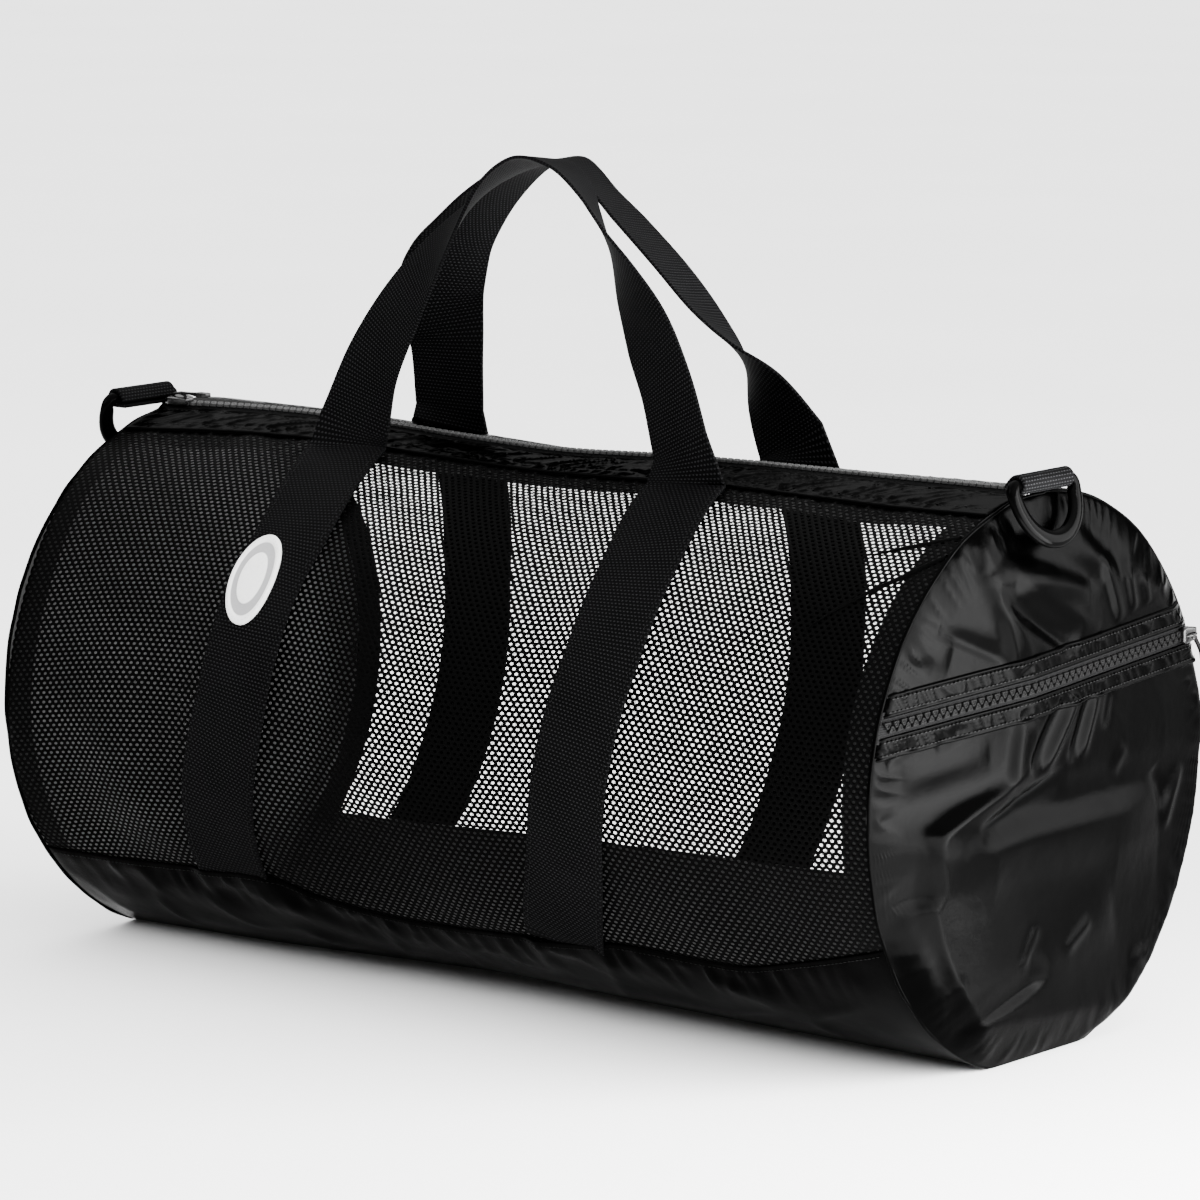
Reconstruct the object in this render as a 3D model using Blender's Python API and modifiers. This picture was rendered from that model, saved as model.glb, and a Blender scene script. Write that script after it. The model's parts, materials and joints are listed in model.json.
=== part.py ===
# Mesh duffel bag: a round barrel of net, nylon and webbing that stands on its base panel.
# Units are metres and +Z is up. +X runs along the barrel to the end with the pocket, -Y is the front.
# The origin lies on the floor under the middle of the barrel.

import math
from collections import namedtuple

import bmesh
import bpy
from mathutils import Vector

MM = 0.001

# Driving sizes
HALF_LENGTH = 305 * MM
CLOTH = 1.2 * MM
GAP = 0.3 * MM
PANEL_REACH = HALF_LENGTH - CLOTH - GAP
WEBBING = 1.8 * MM
WEBBING_WIDTH = 50 * MM
STRAP_LIFT = 1.2 * MM
END_BULGE = 11 * MM
GATHER = 1.2 * MM

# Zips
TAPE_WIDTH = 16 * MM
COIL_WIDTH = 5.4 * MM
COIL_HEIGHT = 1.8 * MM
POCKET_FACING = 9 * MM
SLIDER_SIZE = Vector((16, 11, 5)) * MM
POCKET_SLIDER_SIZE = Vector((4.5, 13, 9)) * MM
SLIDER_INSET = 11.5 * MM
PULL_LENGTH = 24 * MM
PULL_WIDTH = 5 * MM
PULL_THICKNESS = 2.4 * MM
POCKET_PULL_LENGTH = 20 * MM
POCKET_PULL_WAY = Vector((0.55, 0, -0.84))
POCKET_SLIDER_PLACE = 0.955

# D-rings and the webbing loops that hold them
RING_BAR = 6.6 * MM
RING_WIDTH = 56 * MM
RING_DEPTH = 33 * MM
RING_CORNER = 6 * MM
RING_LEAN = 19
TAB_WIDTH = 45 * MM
TAB_LENGTH = 8 * MM
BAR_CLEARANCE = 0.4 * MM
BAR_BEYOND_RIM = 5.5 * MM
LEFT_BAR_Y = -38 * MM
RIGHT_BAR_Y = -9 * MM
LEFT_BAR_SEAT = 7
RIGHT_BAR_SEAT = 2

# Badge: an oval patch of soft plastic on the front left webbing
BADGE_WIDTH = 31 * MM
BADGE_HEIGHT = 54 * MM
BADGE_THICKNESS = 2.0 * MM
BADGE_X = -135 * MM
BADGE_ANGLE = 58

# Angles are in degrees round the barrel from its top, positive over the front and negative over the back.
Section = namedtuple("Section", "x front_depth back_depth half_height centre_z")
SECTIONS = [
    Section(-305, 160, 148, 157, 147),
    Section(-200, 157, 150, 155.5, 147.5),
    Section(-90, 154.5, 143, 151, 147.5),
    Section(-20, 153.5, 139, 149, 147.5),
    Section(60, 153, 140, 151.5, 148),
    Section(190, 153, 146, 153.5, 148.5),
    Section(305, 152.5, 151, 155, 149),
]

# Where the panels meet, as angles
Seams = namedtuple("Seams", "x zip front_facing back_facing front_base back_base")
SEAMS = [
    Seams(-305, 9, 22, -11, 127, -134.5),
    Seams(-240, 5, 18.5, -12, 127, -134),
    Seams(-175, 3, 16, -13, 126, -133.5),
    Seams(-136, 2.5, 15, -13, 125.6, -133),
    Seams(-96, 2.5, 14.5, -13.5, 131.3, -132.7),
    Seams(-36, 2, 14.5, -14, 135, -132),
    Seams(47, 2, 16, -14, 132.5, -130.7),
    Seams(115, 2, 15.5, -13.5, 129.3, -130),
    Seams(196, 3, 17, -13, 129.3, -129.5),
    Seams(241, 3.5, 18, -12.5, 124.9, -129),
    Seams(305, 4, 18, -12, 117.5, -128.5),
]

# Webbing sewn up the barrel: the middle line, from the base seam to where the handle leaves the bag
Sewn = namedtuple("Sewn", "angle x")
FRONT_LEFT = [
    Sewn(125.6, -158), Sewn(107, -149), Sewn(88, -135), Sewn(75, -130), Sewn(62, -127.5), Sewn(45, -124.5),
    Sewn(27, -133), Sewn(18, -140),
]
FRONT_RIGHT = [
    Sewn(130.5, 76), Sewn(110, 98), Sewn(94, 107), Sewn(74, 116), Sewn(61, 120), Sewn(42, 118), Sewn(26, 109),
    Sewn(18, 104),
]
BACK_LEFT = [
    Sewn(-133.5, -225), Sewn(-112, -222), Sewn(-91, -216), Sewn(-70, -206), Sewn(-41, -175), Sewn(-18, -144),
]
BACK_RIGHT = [
    Sewn(-130.7, 42), Sewn(-109, 47), Sewn(-87, 56), Sewn(-70, 64), Sewn(-40, 88), Sewn(-18, 111),
]

# Handles in the air: the middle line, and how far the webbing is turned about it from facing front
Carried = namedtuple("Carried", "x y z turn")
FRONT_LOOP = [
    Carried(-138, -46, 308, 0),
    Carried(-129, -41, 342, -15),
    Carried(-110, -35, 379, -28),
    Carried(-90, -30, 408, -44),
    Carried(-66, -27, 435, -64),
    Carried(-41, -26, 455, -84),
    Carried(-16, -26, 464, -97),
    Carried(6, -27, 456, -110),
    Carried(22, -29, 440, -121),
    Carried(36, -31, 421, -129),
    Carried(52, -34, 398, -146),
    Carried(70, -38, 373, -160),
    Carried(86, -42, 346, -163),
    Carried(99, -46, 315, -166),
]
BACK_LOOP = [
    Carried(-144, 46, 308, 0),
    Carried(-144, 43, 348, 8),
    Carried(-146, 40, 376, 36),
    Carried(-136, 36, 400, 64),
    Carried(-120, 33, 418, 78),
    Carried(-97, 30, 438, 86),
    Carried(-73, 28, 453, 90),
    Carried(-52, 28, 459, 88),
    Carried(-36, 28, 456, 80),
    Carried(-18, 30, 444, 72),
    Carried(2, 33, 426, 74),
    Carried(28, 36, 402, 74),
    Carried(52, 40, 376, 70),
    Carried(70, 43, 357, 58),
    Carried(87, 45, 335, 26),
    Carried(104, 47, 308, 2),
]

# Folds of the end panels: ridges and creases from one point to another across the end
Fold = namedtuple("Fold", "y0 z0 y1 z1 width height")
RIGHT_FOLDS = [
    Fold(-112, 118, 92, 128, 14, 4.0),
    Fold(-84, 30, -5, 48, 11, -4.0),
    Fold(-128, 90, -96, 22, 13, 3.5),
    Fold(-118, 222, -60, 240, 13, 3.0),
    Fold(-96, 254, -10, 222, 12, -3.0),
    Fold(30, 276, 104, 232, 15, 3.0),
    Fold(20, 92, 96, 52, 14, 3.0),
]
LEFT_FOLDS = [
    Fold(-100, 200, 20, 150, 18, 3.0),
    Fold(30, 230, 100, 120, 16, -3.0),
    Fold(-80, 70, 60, 60, 18, 3.0),
]

# The pocket zip crosses the right end from its front rim to its back rim
POCKET_FRONT = (-144.6, 197.5)
POCKET_BACK = (137.5, 213.5)
POCKET_SLOPE = math.degrees(math.atan2(POCKET_BACK[1] - POCKET_FRONT[1], POCKET_BACK[0] - POCKET_FRONT[0]))

Finish = namedtuple("Finish", "colour roughness metallic")
FINISHES = {
    "nylon": Finish((0.012, 0.012, 0.013), 0.42, 0.0),
    "net": Finish((0.010, 0.010, 0.011), 0.60, 0.0),
    "webbing": Finish((0.011, 0.011, 0.012), 0.70, 0.0),
    "zip": Finish((0.016, 0.016, 0.017), 0.50, 0.0),
    "black_plastic": Finish((0.014, 0.014, 0.015), 0.28, 0.0),
    "zip_metal": Finish((0.060, 0.060, 0.063), 0.35, 0.9),
    "badge_plastic": Finish((0.62, 0.62, 0.62), 0.50, 0.0),
}


def along(table, column, position):
    """Smooth value of a table's column, with the table's first column as the position."""
    key = table[0]._fields[0]
    rows = sorted(table, key=lambda row: getattr(row, key))
    places = [getattr(row, key) for row in rows]
    values = [getattr(row, column) for row in rows]
    position = min(max(position, places[0]), places[-1])
    i = 0
    while i < len(places) - 2 and position > places[i + 1]:
        i += 1
    slopes = []
    for k in (i, i + 1):
        low = max(k - 1, 0)
        high = min(k + 1, len(places) - 1)
        slopes.append((values[high] - values[low]) / (places[high] - places[low]))
    span = places[i + 1] - places[i]
    t = (position - places[i]) / span
    return (
        (2 * t ** 3 - 3 * t ** 2 + 1) * values[i]
        + (t ** 3 - 2 * t ** 2 + t) * span * slopes[0]
        + (3 * t ** 2 - 2 * t ** 3) * values[i + 1]
        + (t ** 3 - t ** 2) * span * slopes[1]
    )


def seam(column, x):
    return along(SEAMS, column, x / MM)


def section(x):
    """Depth to the front and to the back, half height and centre height of the barrel at x."""
    return [along(SECTIONS, column, x / MM) * MM for column in Section._fields[1:]]


def barrel(x, angle, lift=0.0):
    """A point on the outside of the barrel, or a little way out from it. The floor flattens it."""
    front, back, height, centre = section(x)
    turn = math.radians(angle)
    depth = front if math.sin(turn) > 0 else back
    out = Vector((0, -math.sin(turn) / depth, math.cos(turn) / height)).normalized()
    y = -depth * math.sin(turn) + out.y * lift
    z = centre + height * math.cos(turn) + out.z * lift
    return Vector((x, y, max(z, lift)))


def girth_degrees(x, width):
    """How many degrees round the barrel a width of cloth takes up."""
    return math.degrees(width / section(x)[2])


def end_rim(side, angle):
    point = barrel(side * HALF_LENGTH, angle)
    return point.y, point.z


def fold_height(folds, y, z):
    """Sum of the ridges and creases at a place on an end panel."""
    total = 0.0
    for fold in folds:
        start = Vector((fold.y0, fold.z0)) * MM
        run = Vector((fold.y1, fold.z1)) * MM - start
        reach = Vector((y, z)) - start
        t = reach.dot(run) / run.length_squared
        off = (reach - run * t).length / (fold.width * MM)
        ends = max(0.0, 1 - (2 * t - 1) ** 4) if 0 < t < 1 else 0.0
        total += fold.height * MM * math.exp(-off * off) * ends
    return total


def end_panel(side, y, z):
    """A point on the outside of an end: flat at the rim seam, bulged within it, and creased."""
    front, back, height, centre = section(side * HALF_LENGTH)
    depth = front if y < 0 else back
    out = math.hypot(y / depth, (z - centre) / height)
    out = min(max(out, (centre - z) / centre), 1.0)
    bulge = END_BULGE * (1 - out ** 5) ** 0.75
    folds = RIGHT_FOLDS if side > 0 else LEFT_FOLDS
    crease = fold_height(folds, y, z) * (1 - out ** 8)
    return Vector((side * (HALF_LENGTH + bulge + crease), y, z))


def new_material(name):
    finish = FINISHES[name]
    material = bpy.data.materials.new(name)
    material.use_nodes = True
    shader = material.node_tree.nodes["Principled BSDF"]
    shader.inputs["Base Color"].default_value = (*finish.colour, 1)
    shader.inputs["Roughness"].default_value = finish.roughness
    shader.inputs["Metallic"].default_value = finish.metallic
    return material


def add_object(name, data, finish):
    """Put a mesh or curve in the bag's collection with a material of its own."""
    obj = bpy.data.objects.new(name, data)
    bag.objects.link(obj)
    material = new_material(finish)
    material.name = name + "_" + finish
    data.materials.append(material)
    return obj


def cloth(name, rows, finish, thickness=CLOTH, closed=False, pole=False):
    """A cloth piece: rows of points on its outer face, thickened to the inside with Solidify."""
    mesh = bmesh.new()
    points = [[mesh.verts.new(point) for point in row] for row in rows]
    for lower, upper in zip(points, points[1:]):
        count = len(lower) if closed else len(lower) - 1
        for i in range(count):
            k = (i + 1) % len(lower)
            mesh.faces.new((lower[i], lower[k], upper[k], upper[i]))
    if pole:
        mesh.faces.new(points[-1])
    bmesh.ops.remove_doubles(mesh, verts=mesh.verts, dist=0.00005)
    data = bpy.data.meshes.new(name)
    mesh.to_mesh(data)
    mesh.free()
    data.shade_smooth()
    obj = add_object(name, data, finish)
    shell = obj.modifiers.new("thickness", "SOLIDIFY")
    shell.thickness = thickness
    shell.offset = -1
    shell.use_even_offset = True
    return obj


def spread(first, last, count):
    return [first + (last - first) * i / count for i in range(count + 1)]


def barrel_panel(name, finish, low, high, girth_steps, length_steps):
    """A panel of the barrel between two seams, each a column of the seam table."""
    rows = []
    for share in spread(0, 1, girth_steps):
        row = []
        for x in spread(-PANEL_REACH, PANEL_REACH, length_steps):
            start = seam(low, x)
            end = seam(high, x)
            if low == "back_base":
                start += 360
            margin = math.copysign(girth_degrees(x, GAP / 2), end - start)
            row.append(barrel(x, start + margin + (end - start - 2 * margin) * share))
        rows.append(row)
    return cloth(name, rows, finish)


def facing(name, column, side):
    """A nylon strip beside the main zip, drawn up into small gathers."""
    rows = []
    for share in spread(0, 1, 3):
        row = []
        for x in spread(-PANEL_REACH, PANEL_REACH, 40):
            edge = seam("zip", x) + side * girth_degrees(x, TAPE_WIDTH / 2 + GAP)
            last = seam(column, x) - side * girth_degrees(x, GAP / 2)
            calm = 1 - (x / PANEL_REACH) ** 6
            gather = GATHER * calm * abs(math.sin(x / MM * 0.19 + 2.1 * math.sin(x / MM * 0.031)))
            lift = gather if 0 < share < 1 else 0
            row.append(barrel(x, edge + (last - edge) * share, lift))
        rows.append(row)
    if side > 0:
        rows.reverse()
    return cloth(name, rows, "nylon")


def main_zip():
    """Tape and coil of the main zip, along the top from rim to rim."""
    profile = [
        (-TAPE_WIDTH / 2, 0), (-COIL_WIDTH / 2 - 0.4 * MM, 0), (-COIL_WIDTH / 2 + 0.4 * MM, COIL_HEIGHT),
        (COIL_WIDTH / 2 - 0.4 * MM, COIL_HEIGHT), (COIL_WIDTH / 2 + 0.4 * MM, 0), (TAPE_WIDTH / 2, 0),
    ]
    rows = []
    for across, lift in profile:
        row = []
        for x in spread(-PANEL_REACH, PANEL_REACH, 26):
            row.append(barrel(x, seam("zip", x) - girth_degrees(x, across), lift))
        rows.append(row)
    return cloth("main_zip", rows, "zip")


def left_end():
    """The round left end, as rings of points from the rim to the middle."""
    centre = section(-HALF_LENGTH)[3]
    rows = []
    for share in (1, 0.93, 0.78, 0.5, 0.2):
        row = []
        for angle in spread(350, 0, 35):
            y, z = end_rim(-1, angle)
            row.append(end_panel(-1, y * share, centre + (z - centre) * share))
        rows.append(row)
    return cloth("left_end_panel", rows, "nylon", closed=True, pole=True)


def pocket_line(t, offset):
    """A place on the pocket zip's line, t of the way to the back, or beside it."""
    y = (POCKET_FRONT[0] + (POCKET_BACK[0] - POCKET_FRONT[0]) * t) * MM
    z = (POCKET_FRONT[1] + (POCKET_BACK[1] - POCKET_FRONT[1]) * t) * MM
    return y, z + offset


def rim_angle(side, height, back):
    """The angle at which the rim passes a height, found by halving."""
    low, high = (-179, 0) if back else (0, 179)
    for _ in range(30):
        middle = (low + high) / 2
        above = end_rim(side, middle)[1] > height
        if above != back:
            low = middle
        else:
            high = middle
    return (low + high) / 2


def end_chord(offset, steps):
    """Points across the right end, on a line beside the pocket zip, from rim to rim."""
    front = rim_angle(1, pocket_line(0, offset)[1], False)
    back = rim_angle(1, pocket_line(1, offset)[1], True)
    y0, z0 = end_rim(1, front)
    y1, z1 = end_rim(1, back)
    return [(y0 + (y1 - y0) * t, z0 + (z1 - z0) * t) for t in spread(0, 1, steps)], front, back


def end_piece(name, low_edge, high_edge, steps):
    """A nylon piece of the right end between two lines of points."""
    rows = []
    for share in spread(0, 1, steps):
        row = []
        for (y0, z0), (y1, z1) in zip(low_edge, high_edge):
            row.append(end_panel(1, y0 + (y1 - y0) * share, z0 + (z1 - z0) * share))
        rows.append(row)
    return cloth(name, rows, "nylon")


def right_end():
    """The right end: upper and lower panel, two strips beside the pocket zip, and the zip."""
    steps = 24
    tape = TAPE_WIDTH / 2
    strip = tape + POCKET_FACING
    upper_chord, front, back = end_chord(strip + GAP / 2, steps)
    arc = [end_rim(1, angle) for angle in spread(front, back, steps)]
    end_piece("right_end_upper", upper_chord, arc, 7)
    lower_chord, front, back = end_chord(-strip - GAP / 2, steps)
    arc = [end_rim(1, angle) for angle in spread(front, back + 360, steps)]
    end_piece("right_end_lower", arc, lower_chord, 9)
    inner = tape + GAP / 2
    outer = strip - GAP / 2
    end_piece("pocket_facing_upper", end_chord(inner, steps)[0], end_chord(outer, steps)[0], 1)
    end_piece("pocket_facing_lower", end_chord(-outer, steps)[0], end_chord(-inner, steps)[0], 1)
    pocket_zip(steps, tape - GAP / 2)


def pocket_zip(steps, half_tape):
    """Tape and coil of the pocket zip. It stops short of the rim by the thickness of the seam."""
    profile = [
        (-half_tape, 0), (-COIL_WIDTH / 2, 0), (-COIL_WIDTH / 2 + 0.8 * MM, COIL_HEIGHT),
        (COIL_WIDTH / 2 - 0.8 * MM, COIL_HEIGHT), (COIL_WIDTH / 2, 0), (half_tape, 0),
    ]
    rows = []
    for offset, lift in profile:
        row = [end_panel(1, y, z) + Vector((lift, 0, 0)) for y, z in end_chord(offset, steps)[0]]
        rows.append(row)
    return cloth("pocket_zip", rows, "zip")


def sewn_rows(table, steps, lift):
    """Cross lines of a webbing sewn up the barrel, square to its own run, from the base upward."""
    rows = []
    for angle in spread(table[0].angle, table[-1].angle, steps):
        x = along(table, "x", angle) * MM
        radius = section(x)[2]
        step = 1.5
        rise = (along(table, "x", angle + step) - along(table, "x", angle - step)) * MM
        slant = math.atan2(rise, math.radians(2 * step) * radius)
        row = []
        for share in (-0.5, 0, 0.5):
            across = share * WEBBING_WIDTH
            turn = math.degrees(-across * math.sin(slant) / radius)
            row.append(barrel(x + across * math.cos(slant), angle + turn, lift))
        rows.append(row)
    return rows


def carried_rows(table, steps):
    """Cross lines of a handle's free loop, read from a smooth curve through its table."""
    Mark = namedtuple("Mark", "run x y z turn")
    curve = [Mark(0, *table[0])]
    for a, b in zip(table, table[1:]):
        curve.append(Mark(curve[-1].run + math.dist(a[:3], b[:3]), *b))
    rows = []
    for run in spread(0, curve[-1].run, steps):
        point = Vector([along(curve, axis, run) for axis in "xyz"]) * MM
        ahead = Vector([along(curve, axis, run + 4) for axis in "xyz"])
        behind = Vector([along(curve, axis, run - 4) for axis in "xyz"])
        direction = (ahead - behind).normalized()
        level = Vector((0, 1, 0)).cross(direction).normalized()
        depth = direction.cross(level)
        turn = math.radians(along(curve, "turn", run))
        across = (level * math.cos(turn) + depth * math.sin(turn)) * WEBBING_WIDTH
        rows.append([point + across * share for share in (-0.5, 0, 0.5)])
    return rows


def handle(name, left, loop, right, turned_over, behind):
    """One length of webbing: up the left of the bag, round the carrying loop, and down the right.

    A webbing that is turned over once in its loop comes down with its other face outward.
    """
    outer = STRAP_LIFT + WEBBING
    left_rows = sewn_rows(left, 13, outer)
    right_rows = sewn_rows(right, 13, STRAP_LIFT if turned_over else outer)
    right_rows.reverse()
    if not turned_over:
        for row in right_rows:
            row.reverse()
    rows = left_rows + carried_rows(loop, 30) + right_rows
    if behind:
        for row in rows:
            row.reverse()
    return cloth(name, rows, "webbing", thickness=WEBBING)


def badge():
    """The oval badge on the front left webbing, left plain."""
    rows = []
    lift = STRAP_LIFT + WEBBING + 2 * GAP + BADGE_THICKNESS
    for share in (1, 0.86, 0.5):
        row = []
        for step in range(24):
            turn = math.tau * step / 24
            x = BADGE_X + math.cos(turn) * share * BADGE_WIDTH / 2
            angle = BADGE_ANGLE - girth_degrees(x, math.sin(turn) * share * BADGE_HEIGHT / 2)
            row.append(barrel(x, angle, lift))
        rows.append(row)
    return cloth("badge", rows, "badge_plastic", thickness=BADGE_THICKNESS, closed=True, pole=True)


def ring_place(side):
    """The middle of a D-ring's straight bar, just past the rim, so high that its loop clears the coil."""
    x = side * (HALF_LENGTH + BAR_BEYOND_RIM)
    y, seat = (RIGHT_BAR_Y, RIGHT_BAR_SEAT) if side > 0 else (LEFT_BAR_Y, LEFT_BAR_SEAT)
    loop_radius = RING_BAR / 2 + BAR_CLEARANCE + WEBBING
    return Vector((x, y, barrel(x, seat, COIL_HEIGHT + GAP).z + loop_radius))


def d_ring(name, side):
    """A D-ring whose bar lies in the webbing loop and whose bow leans on the end of the bag."""
    half = RING_WIDTH / 2
    path = [Vector((0, 0, 0))]
    for turn in spread(90, 0, 3):
        angle = math.radians(turn)
        path.append(Vector((0, half - RING_CORNER + RING_CORNER * math.cos(angle),
                            -RING_CORNER + RING_CORNER * math.sin(angle))))
    for turn in spread(-12, -168, 12):
        angle = math.radians(turn)
        path.append(Vector((0, half * math.cos(angle),
                            -RING_CORNER + (RING_DEPTH - RING_CORNER) * math.sin(angle))))
    for turn in spread(180, 90, 3):
        angle = math.radians(turn)
        path.append(Vector((0, -half + RING_CORNER + RING_CORNER * math.cos(angle),
                            -RING_CORNER + RING_CORNER * math.sin(angle))))
    curve = bpy.data.curves.new(name, "CURVE")
    curve.dimensions = "3D"
    curve.bevel_depth = RING_BAR / 2
    curve.bevel_resolution = 2
    curve.render_resolution_u = 0
    spline = curve.splines.new("POLY")
    spline.points.add(len(path) - 1)
    for point, place in zip(spline.points, path):
        point.co = (*place, 1)
    spline.use_cyclic_u = True
    ring = add_object(name, curve, "black_plastic")
    ring.location = ring_place(side)
    ring.rotation_euler = (0, -side * math.radians(RING_LEAN), 0)
    return ring


def ring_tab(name, side):
    """A webbing loop round a D-ring's bar: both its layers come out of the seam at the zip's end."""
    bar = ring_place(side)
    radius = RING_BAR / 2 + BAR_CLEARANCE + WEBBING
    profile = [(TAB_LENGTH, -radius), (TAB_LENGTH * 0.4, -radius)]
    for turn in spread(-90, 90, 8):
        angle = math.radians(turn)
        profile.append((-radius * math.cos(angle), radius * math.sin(angle)))
    profile += [(TAB_LENGTH * 0.5, radius * 0.86), (TAB_LENGTH, -radius + 2 * WEBBING + GAP)]
    rows = []
    for inward, up in profile:
        x = bar.x - side * inward
        rows.append([Vector((x, bar.y + share * TAB_WIDTH, bar.z + up)) for share in (-0.5, 0, 0.5)])
    if side < 0:
        rows.reverse()
    return cloth(name, rows, "webbing", thickness=WEBBING)


def block(name, size, centre, tilt, finish, bevel):
    """A small moulded block with rounded edges."""
    mesh = bmesh.new()
    bmesh.ops.create_cube(mesh, size=1)
    bmesh.ops.scale(mesh, vec=size, verts=mesh.verts)
    data = bpy.data.meshes.new(name)
    mesh.to_mesh(data)
    mesh.free()
    obj = add_object(name, data, finish)
    obj.location = centre
    obj.rotation_euler = (math.radians(tilt), 0, 0)
    edge = obj.modifiers.new("edge", "BEVEL")
    edge.width = bevel
    edge.segments = 2
    return obj


def pull(name, hinge, direction, length, finish):
    """A pull tab: a flat bar with a thicker end, whose origin lies on its hinge."""
    mesh = bmesh.new()
    outline = [
        (0.0, 0.8, 0.8), (0.62, 0.8, 0.8), (0.68, 1.2, 1.3), (0.96, 1.2, 1.3), (1.0, 0.9, 0.9),
    ]
    rings = []
    for run, wide, thick in outline:
        w = PULL_WIDTH / 2 * wide
        t = PULL_THICKNESS / 2 * thick
        corners = [(-w, -t), (w, -t), (w, t), (-w, t)]
        rings.append([mesh.verts.new((run * length, a, b)) for a, b in corners])
    for first, second in zip(rings, rings[1:]):
        for i in range(4):
            k = (i + 1) % 4
            mesh.faces.new((first[i], first[k], second[k], second[i]))
    mesh.faces.new(list(reversed(rings[0])))
    mesh.faces.new(rings[-1])
    data = bpy.data.meshes.new(name)
    mesh.to_mesh(data)
    mesh.free()
    obj = add_object(name, data, finish)
    obj.location = hinge
    obj.rotation_euler = direction.to_track_quat("X", "Z").to_euler()
    edge = obj.modifiers.new("edge", "BEVEL")
    edge.width = 0.4 * MM
    edge.segments = 1
    return obj


def sliders():
    """Both sliders and their pulls. The main zip is closed at its left end, the pocket zip at its back."""
    x = -HALF_LENGTH + SLIDER_INSET
    slope = seam("zip", x)
    centre = barrel(x, slope, COIL_HEIGHT + GAP + SLIDER_SIZE.z / 2)
    block("main_slider", SLIDER_SIZE, centre, slope, "zip_metal", 1.2 * MM)
    hinge = barrel(x, slope, COIL_HEIGHT + SLIDER_SIZE.z + 4 * GAP + PULL_THICKNESS / 2)
    pull("main_pull", hinge, Vector((1, 0, 0)), PULL_LENGTH, "zip_metal")
    y, z = pocket_line(POCKET_SLIDER_PLACE, 0)
    centre = end_panel(1, y, z) + Vector((COIL_HEIGHT + 6 * GAP + POCKET_SLIDER_SIZE.x / 2, 0, 0))
    block("pocket_slider", POCKET_SLIDER_SIZE, centre, POCKET_SLOPE, "zip_metal", 1.0 * MM)
    reach = POCKET_SLIDER_SIZE.x / 2 + GAP + PULL_THICKNESS * 0.4
    pull("pocket_pull", centre + Vector((reach, 0, 0)), POCKET_PULL_WAY, POCKET_PULL_LENGTH, "zip_metal")


for old in list(bpy.data.objects):
    bpy.data.objects.remove(old, do_unlink=True)

bag = bpy.data.collections.new("mesh_duffel_bag")
bpy.context.scene.collection.children.link(bag)

barrel_panel("base_panel", "nylon", "back_base", "front_base", 14, 18)
barrel_panel("front_net", "net", "front_base", "front_facing", 14, 18)
barrel_panel("back_net", "net", "back_facing", "back_base", 14, 18)
facing("front_facing", "front_facing", 1)
facing("back_facing", "back_facing", -1)
main_zip()
left_end()
right_end()
handle("front_handle", FRONT_LEFT, FRONT_LOOP, FRONT_RIGHT, turned_over=True, behind=False)
handle("back_handle", BACK_LEFT, BACK_LOOP, BACK_RIGHT, turned_over=False, behind=True)
badge()
for end_name, end_side in (("left", -1), ("right", 1)):
    ring_tab(end_name + "_tab", end_side)
    d_ring(end_name + "_ring", end_side)
sliders()
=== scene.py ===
# The mesh duffel bag as it looks: cloth, net, webbing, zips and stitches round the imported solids.
# Units are metres and +Z is up. +X runs along the barrel to the end with the pocket, -Y is the front.

import json
import math
from collections import namedtuple

import bmesh
import bpy
import numpy as np
from mathutils import Matrix, Vector

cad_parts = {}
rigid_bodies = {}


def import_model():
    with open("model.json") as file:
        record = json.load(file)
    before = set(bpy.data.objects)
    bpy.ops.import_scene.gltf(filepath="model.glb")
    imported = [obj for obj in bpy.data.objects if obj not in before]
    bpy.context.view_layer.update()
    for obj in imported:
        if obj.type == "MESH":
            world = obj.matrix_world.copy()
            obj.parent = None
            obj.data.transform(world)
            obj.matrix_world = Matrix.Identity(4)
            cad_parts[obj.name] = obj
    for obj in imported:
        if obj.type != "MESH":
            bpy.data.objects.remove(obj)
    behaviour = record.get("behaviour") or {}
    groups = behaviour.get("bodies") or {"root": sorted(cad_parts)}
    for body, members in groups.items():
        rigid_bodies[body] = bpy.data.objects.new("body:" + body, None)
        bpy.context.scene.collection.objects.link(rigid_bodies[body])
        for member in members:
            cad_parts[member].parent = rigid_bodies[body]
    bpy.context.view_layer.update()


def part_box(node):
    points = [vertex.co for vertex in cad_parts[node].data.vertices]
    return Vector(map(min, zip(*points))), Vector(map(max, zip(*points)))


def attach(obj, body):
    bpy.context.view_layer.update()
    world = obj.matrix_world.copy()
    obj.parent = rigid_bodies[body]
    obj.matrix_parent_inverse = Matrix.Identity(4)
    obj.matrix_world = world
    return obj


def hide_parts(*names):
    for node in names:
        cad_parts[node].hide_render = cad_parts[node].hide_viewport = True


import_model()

MM = 0.001

# The bag's sizes. DEGREE_RUN is the length of one degree round the barrel.
HALF_LENGTH = 305 * MM
PANEL_REACH = 304.3 * MM
BARREL_LENGTH = 2 * PANEL_REACH
WEBBING = 1.8 * MM
WEBBING_WIDTH = 50 * MM
STRAP_LIFT = 1.2 * MM
TAPE_WIDTH = 16 * MM
POCKET_FACING = 9 * MM
END_BULGE = 11 * MM
LINING_GAP = 1.4 * MM
RIM_ROLL = 1.1 * MM
BARREL_RADIUS = 151 * MM
DEGREE_RUN = 2.62 * MM

# The net: holes in staggered rows, their size as a share of the net's cells
NET_PITCH = 4.6 * MM
NET_ROW = 2.75 * MM
NET_HOLE = 0.47
BACK_NET_HOLE = 0.91
NET_RELIEF = 0.35 * MM
NET_GIRTH = 0.332
RIM_BAND = 18 * MM
TOP_BAND = 21 * MM

# How far the facings lie over the zip's tape and over the net, and where their two rows of stitches run
TAPE_LAP = 2.5 * MM
NET_LAP = 1.5 * MM
STITCH_GROOVES = (3.2 * MM, 8.0 * MM)

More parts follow.
